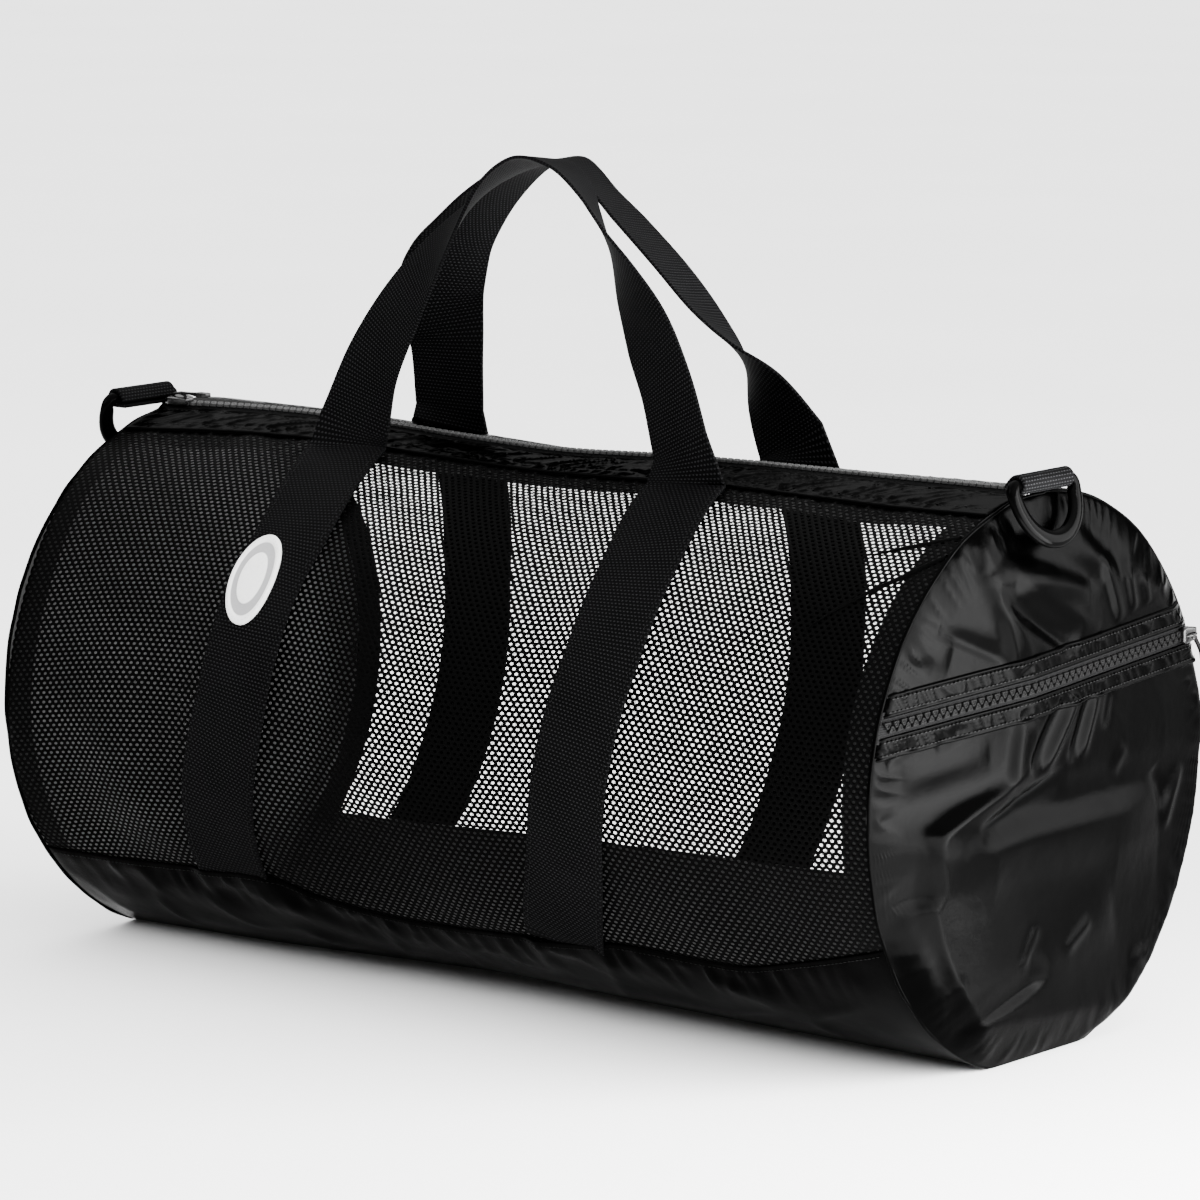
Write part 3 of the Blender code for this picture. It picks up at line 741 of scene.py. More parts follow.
def make_repeat_tree():
    """Node tree that sets small rounded bars along lines, for stitches."""
    g, values = new_tree("bars_along_lines", Geometry="Geometry", Spacing="Float", Size="Vector",
                         Variation="Float", Seed="Int", Material="Material")
    lines, spacing, size, variation, seed, material = values
    curve = g.read("GeometryNodeMeshToCurve", "Curve", {}, {"Mesh": lines})
    curve = g.read("GeometryNodeResampleCurve", "Curve", {"mode": "LENGTH"},
                   {"Curve": curve, "Length": spacing})
    bar = g.read("GeometryNodeMeshUVSphere", "Mesh", {}, {"Segments": 6, "Rings": 4, "Radius": 0.5})
    bar = g.read("GeometryNodeTransform", "Geometry", {}, {"Geometry": bar, "Scale": size})
    outward = g.read("GeometryNodeInputNamedAttribute", "Attribute", {"data_type": "FLOAT_VECTOR"},
                     {"Name": "out"})
    turn = g.read("FunctionNodeAlignRotationToVector", "Rotation", {"axis": "X"},
                  {"Vector": g.read("GeometryNodeInputTangent", "Tangent")})
    turn = g.read("FunctionNodeAlignRotationToVector", "Rotation", {"axis": "Z", "pivot_axis": "X"},
                  {"Rotation": turn, "Vector": outward})
    chance = g.node("FunctionNodeRandomValue", {"data_type": "FLOAT"}, {"Seed": seed})
    g.feed(chance.inputs[2], -1.0)
    g.feed(chance.inputs[3], 1.0)
    wander = Value(g, chance.outputs[1]) * variation
    tilt = g.read("ShaderNodeCombineXYZ", "Vector", {}, {"Z": wander})
    tilt = g.read("FunctionNodeEulerToRotation", "Rotation", {}, {"Euler": tilt})
    turn = g.read("FunctionNodeRotateRotation", "Rotation", {"rotation_space": "LOCAL"},
                  {"Rotation": turn, "Rotate By": tilt})
    bars = g.read("GeometryNodeInstanceOnPoints", "Instances", {},
                  {"Points": curve, "Instance": bar, "Rotation": turn, "Scale": wander * 0.4 + 1})
    return finished_tree(g, bars, material)


def grown(mesh, tree, **values):
    """The plain mesh that a node tree makes from a mesh, with the named inputs set."""
    obj = bpy.data.objects.new("work", mesh)
    bpy.context.scene.collection.objects.link(obj)
    modifier = obj.modifiers.new("nodes", "NODES")
    modifier.node_group = tree
    for item in tree.interface.items_tree:
        if item.in_out == "INPUT" and item.name in values:
            modifier[item.identifier] = values[item.name]
    return evaluated(obj)


NET_TREE = make_net_tree()
REPEAT_TREE = make_repeat_tree()

Line = namedtuple("Line", "points outward")


def bars(name, lines, finish, spacing, size, variation, seed):
    """Mesh of small rounded bars set along lines."""
    mesh = bpy.data.meshes.new(name)
    points = []
    edges = []
    outward = []
    for line in lines:
        first = len(points)
        points += line.points.tolist()
        outward += line.outward.tolist()
        edges += [(k, k + 1) for k in range(first, len(points) - 1)]
    mesh.from_pydata(points, edges, [])
    attribute = mesh.attributes.new("out", "FLOAT_VECTOR", "POINT")
    attribute.data.foreach_set("vector", np.array(outward, np.float32).ravel())
    return grown(mesh, REPEAT_TREE, Spacing=spacing, Size=size, Variation=variation, Seed=seed,
                 Material=finish)


def barrel_line(x, angle, lift):
    """A line on the barrel, and which way is out along it."""
    x, angle, lift = np.broadcast_arrays(x, angle, lift)
    points = barrel(x, angle, lift)
    return Line(points, (barrel(x, angle, lift + MM) - points) / MM)


# Materials
NYLON_CLOTH = nylon("black_nylon")
NET_THREAD = net_thread("black_net_thread")
STRAP = webbing("black_webbing")
TAPE = zip_tape("black_zip_tape")
TEETH = moulded("black_zip_teeth", 0.001, 0.003, 0.15, 0.009)
# The main zip's teeth: the dark teeth plastic painted lighter grey, as a painted reflection of the light they
# catch
PAINTED_LIT_TEETH = moulded("grey_zip_teeth", 0.012, 0.045, 0.25, 0.12)
THREAD = moulded("black_thread", 0.0005, 0.002, 0.5, 0.05)
COATED = coated("coated_nylon_inside", 0.022, 0.045)
ALLOWANCE = coated("nylon_seam_allowance", 0.006, 0.02)
RING_PLASTIC = moulded("black_ring_plastic", 0.0002, 0.0006, 0.05, 0.006)
ENAMEL = moulded("dark_enamel", 0.01, 0.03, 0.16, 0.2, 0.9)
RUBBER = badge_plastic("pale_badge_plastic")
PALE_THREAD = moulded("pale_thread", 0.45, 0.65, 0.5, 0.4)

stitch_lines = []


def facing_lift(x, across, width, puffed):
    """How far a facing stands up, at a distance from its edge by the zip: lips, grooves and puckers."""
    outer = width - across
    near = np.exp(-((across - STITCH_GROOVES[0]) / (1.1 * MM)) ** 2)
    far = np.exp(-((outer - STITCH_GROOVES[1]) / (1.1 * MM)) ** 2)
    ends = 1 - (x / PANEL_REACH) ** 8
    slant = x + across * 1.3
    wander = ripples(x, across, 0.05, 30) * 3.0 * MM
    puff = creases(slant + wander, across * 0.1, 0.021, 31) * 1.3
    puff = puff + creases(slant, across * 0.4, 0.009, 33) * 0.5
    puff = puffed * puff * smooth(0.5 * MM, 4 * MM, across) * smooth(0.5 * MM, 4 * MM, outer)
    return (lips(across, outer) * 0.75 + 0.3 + (puff - (near + far) * 0.9) * ends) * MM


def facing_span(column, side, x):
    """The angles at which a facing starts and ends, and its width."""
    low = seam("zip", x) + side * girth_degrees(x, TAPE_WIDTH / 2 - TAPE_LAP)
    high = seam(column, x) + side * girth_degrees(x, NET_LAP)
    return low, high, np.abs(high - low) * DEGREE_RUN


def facing(word, side, puffed):
    """A nylon strip beside the main zip, with a rounded fold at both edges."""
    node = word + "_facing"
    steps = np.concatenate(([0, 0, 0.3, 0.7, 1.1, 1.6, 2.2, 2.7, 3.2, 3.7], np.linspace(4.4, 30, 24))) * MM
    x = np.linspace(-PANEL_REACH + 2 * MM, PANEL_REACH - 2 * MM, 516)
    x = np.concatenate(([-PANEL_REACH, -PANEL_REACH + MM], x, [PANEL_REACH - MM, PANEL_REACH]))[None, :]
    low, high, width = facing_span(node, side, x)
    share = np.concatenate((steps / steps[-1], [1.0]))[:, None]
    across = share * width
    lift = 0.7 * MM + facing_lift(x, across, width, puffed)
    lift[0] = lift[-1] = -0.6 * MM
    lift = lift - 2.4 * MM * smooth(PANEL_REACH - 2 * MM, PANEL_REACH, np.abs(x))
    points = barrel(x, low + (high - low) * share, lift)
    pattern = spread(x, across)
    if side > 0:
        points, pattern = points[::-1], pattern[::-1]
    mesh = grid_mesh(node + "_cloth", points, pattern)
    add_piece(node + "_cloth", mesh, NYLON_CLOTH, nodes=[node])
    line_x = np.linspace(-PANEL_REACH + 4 * MM, PANEL_REACH - 4 * MM, 300)
    low, high, width = facing_span(node, side, line_x)
    for across in (STITCH_GROOVES[0] + 0 * width, width - STITCH_GROOVES[1]):
        lift = 0.75 * MM + facing_lift(line_x, across, width, puffed)
        stitch_lines.append(barrel_line(line_x, low + (high - low) * across / width, lift))


def net_ripple(x, angle):
    """Slack of the net between what it is sewn to."""
    return ripples(x, np.radians(angle) * 0.15, 0.11, 41) * 1.0 * MM


def net_panel(word, side, hole):
    """A net panel with its holes, hung from the facing down to the base panel and gathered at its top."""
    name = word + "_net_cloth"
    mesh = grown(bpy.data.meshes.new(name), NET_TREE, Length=BARREL_LENGTH, Width=NET_GIRTH,
                 Pitch=NET_PITCH, Row=NET_ROW, Hole=hole, Relief=NET_RELIEF, Material=NET_THREAD)
    flat = np.empty(len(mesh.vertices) * 3, np.float32)
    mesh.vertices.foreach_get("co", flat)
    flat = flat.reshape(-1, 3).astype(float)
    x = flat[:, 0]
    start = seam(word + "_facing", x) - side * 1.0
    angle = start + side * girth_degrees(x, flat[:, 1])
    last = seam(word + "_base", x) + side * 1.0
    to_bottom = (last - angle) * side * DEGREE_RUN
    points = barrel(x, angle, flat[:, 2] + net_lift(x, angle, start, last))
    loops = np.empty(len(mesh.loops), np.int32)
    mesh.loops.foreach_get("vertex_index", loops)
    corners = loops.reshape(-1, 4)
    if side > 0:
        corners = corners[:, ::-1]
    corners = corners[((np.abs(x[corners]) < PANEL_REACH) & (to_bottom[corners] > 0)).all(1)]
    used, index = np.unique(corners, return_inverse=True)
    made = bpy.data.meshes.new(name)
    made.from_pydata(points[used].tolist(), [], index.reshape(-1, 4).tolist())
    layer = made.uv_layers.new(name="UVMap")
    layer.data.foreach_set("uv", flat[corners.ravel()][:, :2].astype(np.float32).ravel())
    bpy.data.meshes.remove(mesh)
    add_piece(name, made, NET_THREAD, nodes=[word + "_net"])


def net_lift(x, angle, start, last):
    """How far the net stands out: gathers below the facing, slack in the middle, tucked in at its seams."""
    to_top = np.abs(angle - start) * DEGREE_RUN
    to_bottom = np.abs(last - angle) * DEGREE_RUN
    to_rim = HALF_LENGTH - np.abs(x)
    slack = net_ripple(x, angle) * smooth(0, 0.03, to_top) * smooth(0, 0.03, to_bottom)
    gather = creases(x + to_top * 0.1, to_top * 0.02, 0.013, 45) * np.exp(-(to_top / 0.020) ** 2) * 1.6 * MM
    tuck = 3 - smooth(0.002, 0.008, to_top) - smooth(0.002, 0.008, to_bottom) - smooth(0.0, 0.006, to_rim)
    tuck = tuck * 0.7 * MM
    return slack + gather * smooth(0, 0.004, to_top) - 0.4 * MM - tuck


def seam_strip(word, side):
    """The nylon seam allowance behind the net, along both rims and below the facing."""
    ripple = np.linspace(-PANEL_REACH, PANEL_REACH, 330)
    inner = PANEL_REACH - RIM_BAND
    x = np.concatenate((np.linspace(-PANEL_REACH, -inner, 9), ripple[np.abs(ripple) < inner - 0.5 * MM],
                        np.linspace(inner, PANEL_REACH, 9)))[None, :]
    down = np.concatenate((np.linspace(0, TOP_BAND, 8), np.linspace(TOP_BAND, NET_GIRTH, 60)[1:]))[:, None]
    start = seam(word + "_facing", x) - side * 2.5
    last = seam(word + "_base", x) + side * 1.0
    length = np.abs(last - start) * DEGREE_RUN
    share = np.minimum(down / length, 1.0)
    angle = start + (last - start) * share
    points = barrel(x, angle, net_lift(x, angle, start, last) - 1.3 * MM)
    pattern = spread(x, share * length)
    keep = (down[:-1] < TOP_BAND - MM) | (np.abs(x[:, :-1] + x[:, 1:]) / 2 > inner)
    keep &= (down / length < 1)[:-1, :-1]
    if side > 0:
        points, pattern, keep = points[::-1], pattern[::-1], keep[::-1]
    name = word + "_seam_strip"
    add_piece(name, grid_mesh(name, points, pattern, keep), ALLOWANCE)


# Pleats that the net is drawn into at the top of the right rim
Pleat = namedtuple("Pleat", "x angle")
PLEATS = [
    [Pleat(252, 35), Pleat(268, 32.5), Pleat(284, 30), Pleat(302, 27)],
    [Pleat(240, 54), Pleat(254, 49), Pleat(270, 44), Pleat(286, 39), Pleat(303, 33)],
]


def pleats():
    """Narrow standing folds of the net that run into the rim seam."""
    meshes = []
    for table in PLEATS:
        x = np.linspace(table[0].x, table[-1].x, 60)
        angle = along(table, "angle", x)
        share = np.linspace(0, 1, 60)
        wide = 1.6 * MM * np.sin(np.clip(share * 1.25, 0, 1) * math.pi / 2) + 0.15 * MM
        turn = np.linspace(0, math.pi, 7)[:, None]
        offset = np.cos(turn) * wide[None, :]
        lift = np.sin(turn) * wide[None, :] * 1.1 - 0.6 * MM
        points = barrel(x * MM, angle - girth_degrees(0.27, 1) * offset, lift)
        meshes.append(grid_mesh("pleat", points, spread(x * MM, offset)))
    add_piece("net_pleats", merged("net_pleats", meshes), NET_THREAD)


for word, side, hole, puffed in (("front", 1, NET_HOLE, 1.2), ("back", -1, BACK_NET_HOLE, 0.35)):
    facing(word, side, puffed)
    net_panel(word, side, hole)
    seam_strip(word, side)

pleats()


# Straps
def strap_cover(x):
    """1 where a strap comes down into the base seam, as a pair for the front and the back."""
    found = []
    for tables in ((FRONT_LEFT, FRONT_RIGHT), (BACK_LEFT, BACK_RIGHT)):
        cover = 0
        for table in tables:
            cover = cover + 1 - smooth(0.021, 0.034, np.abs(x - table[0].x * MM))
        found.append(cover)
    return found


def base_cloth():
    """The nylon base: it laps over the net and the ends of the straps, and is puckered along its seams."""
    shares, depth = turned_under(86, 0.004, 1.3 * MM)
    x = np.linspace(-PANEL_REACH, PANEL_REACH, 210)[None, :]
    share = shares[:, None]
    start = seam("back_base", x) + 360 + 1.2
    end = seam("front_base", x) - 1.2
    angle = start + (end - start) * share
    girth = np.radians(start - end) * BARREL_RADIUS
    from_back = share * girth
    from_front = (1 - share) * girth
    front_cover, back_cover = strap_cover(x)
    over = front_cover * np.exp(-(from_front / 0.016) ** 2) + back_cover * np.exp(-(from_back / 0.016) ** 2)
    edge = np.minimum(from_back, from_front)
    pucker = creases(x, edge * 0.25, 0.022, 51) * np.exp(-(edge / 0.022) ** 2) * smooth(0, 0.006, edge) * 2.0
    down = smooth(0.0, 0.020, barrel(x, angle)[..., 2])
    crumple = (creases(x * 0.6, from_front, 0.07, 53) * 1.6 + ripples(x, from_front, 0.05, 57) * 0.5) * down
    ends = 1 - (x / PANEL_REACH) ** 10
    wrinkle = (pucker + crumple * smooth(0, 0.02, edge)) * ends * MM
    lift = 0.6 * MM + depth[:, None] + over * 2.6 * MM + wrinkle
    lift = lift - 1.2 * MM * (x / PANEL_REACH) ** 80
    points = barrel(x, angle, lift * down)
    points[..., 2] = np.maximum(points[..., 2], 0.0)
    pattern = spread(x, share * girth)
    inside = barrel(x, angle, np.minimum(lift, 0) * down - 1.6 * MM)
    inside[..., 2] = np.maximum(inside[..., 2], LINING_GAP)
    add_piece("base_lining", grid_mesh("base_lining", inside[:, ::-1], pattern[:, ::-1]), COATED)
    seam_x = np.linspace(-PANEL_REACH + 5 * MM, PANEL_REACH - 5 * MM, 260)
    covers = strap_cover(seam_x)
    for column, turn, cover in (("front_base", -1, covers[0]), ("back_base", 1, covers[1])):
        inward = turn * np.degrees(0.0035 / BARREL_RADIUS)
        lift = 0.95 * MM + cover * 2.5 * MM + creases(seam_x, 0.0009, 0.022, 51) * 0.3 * MM
        stitch_lines.append(barrel_line(seam_x, seam(column, seam_x) - turn * 1.2 + inward, lift))
    mesh = grid_mesh("base_cloth", points, pattern)
    add_piece("base_cloth", mesh, NYLON_CLOTH, nodes=["base_panel"])


base_cloth()


def sewn_rows(table, steps, lift, shares):
    """Cross lines of a webbing sewn up the barrel, square to its own run, from the base upward."""
    angle = np.linspace(table[0].angle, table[-1].angle, steps + 1)[:, None]
    x = along(table, "x", angle) * MM
    radius = section(x)[2]
    step = 1.5
    rise = (along(table, "x", angle + step) - along(table, "x", angle - step)) * MM
    slant = np.arctan2(rise, math.radians(2 * step) * radius)
    across = np.array(shares)[None, :] * WEBBING_WIDTH
    turn = np.degrees(-across * np.sin(slant) / radius)
    seam_side = np.abs(angle - table[0].angle) * DEGREE_RUN
    tuck = 0.9 * MM * (1 - smooth(0.0, 0.012, seam_side)) + 0 * across
    return barrel(x + across * np.cos(slant), angle + turn, lift - tuck)


def carried_rows(table, steps, shares):
    """Cross lines of a handle's free loop, read from a smooth curve through its table."""
    Mark = namedtuple("Mark", "run x y z turn")
    curve = [Mark(0, *table[0])]
    for a, b in zip(table, table[1:]):
        curve.append(Mark(curve[-1].run + math.dist(a[:3], b[:3]), *b))
    run = np.linspace(0, curve[-1].run, steps + 1)
    point = np.stack([along(curve, axis, run) for axis in "xyz"], -1) * MM
    ahead = np.stack([along(curve, axis, run + 4) - along(curve, axis, run - 4) for axis in "xyz"], -1)
    direction = unit(ahead)
    level = unit(np.cross(np.array((0.0, 1.0, 0.0)), direction))
    depth = np.cross(direction, level)
    turn = np.radians(along(curve, "turn", run))[:, None]
    across = level * np.cos(turn) + depth * np.sin(turn)
    bowed = np.cross(across, direction)
    shares = np.array(shares)
    bow = (0.25 - shares ** 2) * 3.0 * MM * np.sin(np.linspace(0, math.pi, steps + 1))[:, None]
    return (point[:, None, :] + across[:, None, :] * (shares * WEBBING_WIDTH)[None, :, None]
            + bowed[:, None, :] * bow[:, :, None])


STRAP_SHARES = np.concatenate(([-0.5, -0.485], np.linspace(-0.44, 0.44, 11), [0.485, 0.5]))


def handle(word, left, loop, right):
    """One length of webbing: up the left of the bag, round the carrying loop, and down the right.

    The front one turns over on its way and comes down with its other side out."""
    name = word + "_handle_webbing"
    behind = word == "back"
    outer = STRAP_LIFT + WEBBING
    left_rows = sewn_rows(left, 170, outer, STRAP_SHARES)
    right_rows = sewn_rows(right, 170, outer if behind else STRAP_LIFT, STRAP_SHARES)[::-1]
    if behind:
        right_rows = right_rows[:, ::-1]
    loop_rows = carried_rows(loop, 230, STRAP_SHARES)
    rows = np.concatenate((left_rows, bridge(left_rows[-1], loop_rows[0]), loop_rows,
                           bridge(loop_rows[-1], right_rows[0]), right_rows))
    if behind:
        rows = rows[:, ::-1]
    run = run_along(rows[:, len(STRAP_SHARES) // 2])
    pattern = spread(STRAP_SHARES[None, :] * WEBBING_WIDTH, run[:, None])
    mesh = wall(grid_mesh(name, rows, pattern), WEBBING)
    for table in (left, right):
        for share in (-0.44, 0.44):
            edge, further = [sewn_rows(table, 120, outer + rise * MM, [share])[3:, 0]
                             for rise in (0.12, 1.12)]
            stitch_lines.append(Line(edge, (further - edge) / MM))
    add_piece(name, mesh, STRAP, nodes=[word + "_handle"])
    return run[-1]


def bridge(first, last):
    """Rows between two cross lines of a strap, where it leaves the bag."""
    share = np.linspace(0, 1, 8)[1:-1, None, None]
    return first[None] + (last - first)[None] * share


front_run = handle("front", FRONT_LEFT, FRONT_LOOP, FRONT_RIGHT)
back_run = handle("back", BACK_LEFT, BACK_LOOP, BACK_RIGHT)


# Ends
def end_piece(name, node, side, y, z, closed=False):
    """A nylon piece of an end from rows of places on it, and its coated inner side."""
    pattern = np.stack((y, z), -1)
    inside = grid_mesh(name + "_lining", end_surface(side, y, z, -LINING_GAP)[:, ::-1], pattern[:, ::-1])
    cloth = grid_mesh(name + "_cloth", end_surface(side, y, z), pattern)
    if closed:
        inside, cloth = joined(inside), joined(cloth)
    add_piece(name + "_lining", inside, COATED)
    add_piece(name + "_cloth", cloth, NYLON_CLOTH, nodes=[node])


def left_end():
    """The round left end, as rings of points from the rim to the middle."""
    centre = section(-HALF_LENGTH)[3]
    shares = np.concatenate((1 - np.linspace(0, 1, 70)[:-1] ** 1.15, [0.0]))[:, None]
    angle = np.linspace(360, 0, 241)[None, :]
    rim = barrel(-HALF_LENGTH, angle)
    y = rim[..., 1] * shares
    z = centre + (rim[..., 2] - centre) * shares
    end_piece("left_end", "left_end_panel", -1, y, z, closed=True)


def rim_angle(side, height, back):
    """The angle at which the rim passes a height, found by halving."""
    low, high = (-179.0, 0.0) if back else (0.0, 179.0)
    for _ in range(40):
        middle = (low + high) / 2
        above = barrel(side * HALF_LENGTH, middle)[2] > height
        if above != back:
            low = middle
        else:
            high = middle
    return (low + high) / 2


def pocket_line(t, offset):
    """A place on the pocket zip's line, t of the way to the back, or beside it."""
    y = (POCKET_FRONT[0] + (POCKET_BACK[0] - POCKET_FRONT[0]) * t) * MM
    z = (POCKET_FRONT[1] + (POCKET_BACK[1] - POCKET_FRONT[1]) * t) * MM
    return y, z + offset


def end_chord(offset, steps):
    """Points across the right end on a line beside the pocket zip, from rim to rim."""
    front = rim_angle(1, pocket_line(0, offset)[1], False)
    back = rim_angle(1, pocket_line(1, offset)[1], True)
    first = barrel(HALF_LENGTH, front)[1:]
    last = barrel(HALF_LENGTH, back)[1:]
    return first + (last - first) * np.linspace(0, 1, steps)[:, None], front, back


def between(low, high, share):
    """Rows of places from one line of points to another, and their distances from both."""
    places = low[None] + (high - low)[None] * share[:, None, None]
    y, z = places[..., 0], places[..., 1]
    return y, z, np.abs(z - z[:1]), np.abs(z - z[-1:])


def pocket_strip(word, low, high):
    """A nylon strip beside the pocket zip, with a rounded fold at both edges and its ends in the rim seam."""
    lift = 1.0 * MM
    y, z, near, far = between(low, high, np.concatenate(([0], np.linspace(0, 1, 24), [1])))
    puckers = creases(y + near * 0.4, near * 0.2, 0.011, 71) * smooth(MM, 4 * MM, near)
    depth = (lips(near, far) * 0.7 + puckers * smooth(MM, 4 * MM, far) * 0.8) * MM
    depth[[0, -1]] -= 1.0 * MM
    from_rim = np.minimum(np.arange(y.shape[1]), np.arange(y.shape[1])[::-1])
    depth = depth - (lift + 1.2 * MM) * (1 - smooth(0, 3, from_rim))
    node = "pocket_facing_" + word
    mesh = grid_mesh(node + "_cloth", end_surface(1, y, z, lift + depth), np.stack((y, z), -1))
    add_piece(node + "_cloth", mesh, NYLON_CLOTH, nodes=[node])


def right_end():
    """The right end: upper and lower cloth, two strips beside the pocket zip, and their stitches."""
    steps = 190
    tape = TAPE_WIDTH / 2
    strip = tape + POCKET_FACING
    upper, front, back = end_chord(strip - 2 * MM, steps)
    arc = barrel(HALF_LENGTH, np.linspace(front, back, steps))[:, 1:]
    y, z = between(upper, arc, np.linspace(0, 1, 50))[:2]
    end_piece("right_end_upper", "right_end_upper", 1, y, z)
    lower, front, back = end_chord(-strip + 2 * MM, steps)
    arc = barrel(HALF_LENGTH, np.linspace(front, back + 360, steps))[:, 1:]
    y, z = between(arc, lower, np.linspace(0, 1, 100))[:2]
    end_piece("right_end_lower", "right_end_lower", 1, y, z)
    inner = tape - 3 * MM
    for word, low, high in (("upper", inner, strip), ("lower", -strip, -inner)):
        low_line = end_chord(low, steps)[0]
        high_line = end_chord(high, steps)[0]
        pocket_strip(word, low_line, high_line)
        for place in (0.22, 0.78):
            line = (low_line + (high_line - low_line) * place)[3:-3]
            points = end_surface(1, line[:, 0], line[:, 1], 1.6 * MM)
            stitch_lines.append(Line(points, np.tile((1.0, 0.0, 0.0), (len(line), 1))))


left_end()
right_end()


# Zips: moulded teeth that taper toward the middle and mesh from both sides
def copies(name, shape, places, ways):
    """One mesh of many copies of a small shape, its three axes laid along three ways at each place."""
    vertices, faces = shape
    points = places[:, None, :] + sum(vertices[None, :, k, None] * ways[k][:, None, :] for k in range(3))
    count = len(vertices)
    index = [[corner + count * k for corner in face] for k in range(len(places)) for face in faces]
    mesh = bpy.data.meshes.new(name)
    mesh.from_pydata(points.reshape(-1, 3).tolist(), [], index)
    return mesh


def tooth(pitch):
    """A zip tooth: a blunt wedge with chamfered corners and a dimple on top. +Y points to the tape."""
    outer, inner, chamfer = pitch * 0.43, pitch * 0.17, pitch * 0.07
    near, far = -0.8 * MM, 3.0 * MM
    outline = np.array([
        (-inner, near + chamfer), (-inner + chamfer, near), (inner - chamfer, near), (inner, near + chamfer),
        (outer, far - chamfer), (outer - chamfer, far), (-outer + chamfer, far), (-outer, far - chamfer),
    ])
    middle = outline.mean(0)
    layers = [(1.0, 0.0), (1.0, 1.1), (0.93, 1.5), (0.78, 1.7), (0.52, 1.65), (0.40, 1.25)]
    rings = [np.concatenate((middle + (outline - middle) * size, np.full((8, 1), z * MM)), 1)
             for size, z in layers]
    faces = []
    for k in range(len(layers) - 1):
        faces += [(8 * k + i, 8 * k + (i + 1) % 8, 8 * k + 8 + (i + 1) % 8, 8 * k + 8 + i) for i in range(8)]
    faces.append(tuple(range(8 * (len(layers) - 1), 8 * len(layers))))
    return np.concatenate(rings), faces


def teeth(name, line, pitch, finish):
    """Both rows of teeth of a zip whose middle runs along a line."""
    run = run_along(line.points)

    def at(marks, values):
        return np.stack([np.interp(marks, run, values[:, k]) for k in range(3)], 1)

    meshes = []
    for turn, start in ((1, 0.0), (-1, pitch / 2)):
        marks = np.arange(start + pitch * 0.5, run[-1] - pitch * 0.5, pitch)
        place = at(marks, line.points)
        outward = at(marks, line.outward)
        ahead = unit(at(marks + MM, line.points) - place)
        across = np.cross(outward, ahead)
        meshes.append(copies("teeth", tooth(pitch), place, (ahead * turn, across * turn, outward)))
    add_piece(name, merged(name, meshes), finish)


def main_zip():
    """The main zip: tape along the top and its teeth."""
    offsets = np.linspace(-TAPE_WIDTH / 2, TAPE_WIDTH / 2, 9)[:, None]
    x = np.linspace(-PANEL_REACH, PANEL_REACH, 200)[None, :]
    lift = 0.2 * MM + 2.3 * MM * np.exp(-(offsets / 0.0048) ** 4)
    points = barrel(x, seam("zip", x) - girth_degrees(x, offsets), lift)
    tape = grid_mesh("main_zip_tape", points, spread(x, offsets))
    add_piece("main_zip_tape", tape, TAPE, nodes=["main_zip"])
    line_x = np.linspace(-PANEL_REACH + 3 * MM, PANEL_REACH - 3 * MM, 300)
    # Its teeth take the lighter grey finish, whose grey is a painted reflection
    teeth("main_zip_teeth", barrel_line(line_x, seam("zip", line_x), 2.4 * MM), MAIN_TOOTH, PAINTED_LIT_TEETH)


def pocket_zip():
    """The pocket zip: tape across the right end and its teeth."""
    offsets = np.linspace(-TAPE_WIDTH / 2, TAPE_WIDTH / 2, 9)
    rows = np.stack([end_chord(offset, 150)[0] for offset in offsets])
    lift = 0.1 * MM + 0.5 * MM * np.exp(-(offsets / 0.004) ** 4)
    points = end_surface(1, rows[..., 0], rows[..., 1], lift[:, None])
    tape = grid_mesh("pocket_zip_tape", points, spread(rows[..., 0], offsets[:, None]))
    add_piece("pocket_zip_tape", tape, TAPE, nodes=["pocket_zip"])
    line = end_chord(0, 300)[0][2:-2]
    points = end_surface(1, line[:, 0], line[:, 1], 0.5 * MM)
    outward = unit(spread(1.0, -np.gradient(points[:, 0], line[:, 0]), 0.0))
    teeth("pocket_zip_teeth", Line(points, outward), POCKET_TOOTH, TEETH)


main_zip()
pocket_zip()


def swept(name, path, radius, sides, closed):
    """A round tube along a path of points."""
    curve = bpy.data.curves.new(name, "CURVE")
    curve.dimensions = "3D"
    curve.bevel_depth = radius
    curve.bevel_resolution = sides
    curve.use_fill_caps = True
    spline = curve.splines.new("POLY")
    spline.points.add(len(path) - 1)
    spline.points.foreach_set("co", np.concatenate((path, np.ones((len(path), 1))), 1).ravel())
    spline.use_cyclic_u = closed
    obj = bpy.data.objects.new(name, curve)
    bpy.context.scene.collection.objects.link(obj)
    return evaluated(obj)


# The rims: the rolled edge of the seam between the barrel and each end
for word, side in (("left", -1), ("right", 1)):
    angle = np.linspace(0, 360, 361)[:-1]
    wander = ripples(np.radians(angle) * 0.15, 0, 0.03, 61 + side) * 0.25 * MM
    ring = barrel(side * (HALF_LENGTH - 0.3 * MM), angle, -0.3 * MM + wander)
    ring[:, 2] = np.maximum(ring[:, 2], RIM_ROLL)
    name = word + "_rim_seam"
    add_piece(name, swept(name, ring, RIM_ROLL, 2, True), NYLON_CLOTH)


# D-rings, in webbing loops
def ring_place(side):
    """The middle of a D-ring's bar."""
    x = side * (HALF_LENGTH + 5.5 * MM)
    y, seat = (-9 * MM, 2) if side > 0 else (-38 * MM, 7)
    return np.array((x, y, barrel(x, seat, 2.1 * MM)[2] + RING_BAR / 2 + RING_ROOM + WEBBING))


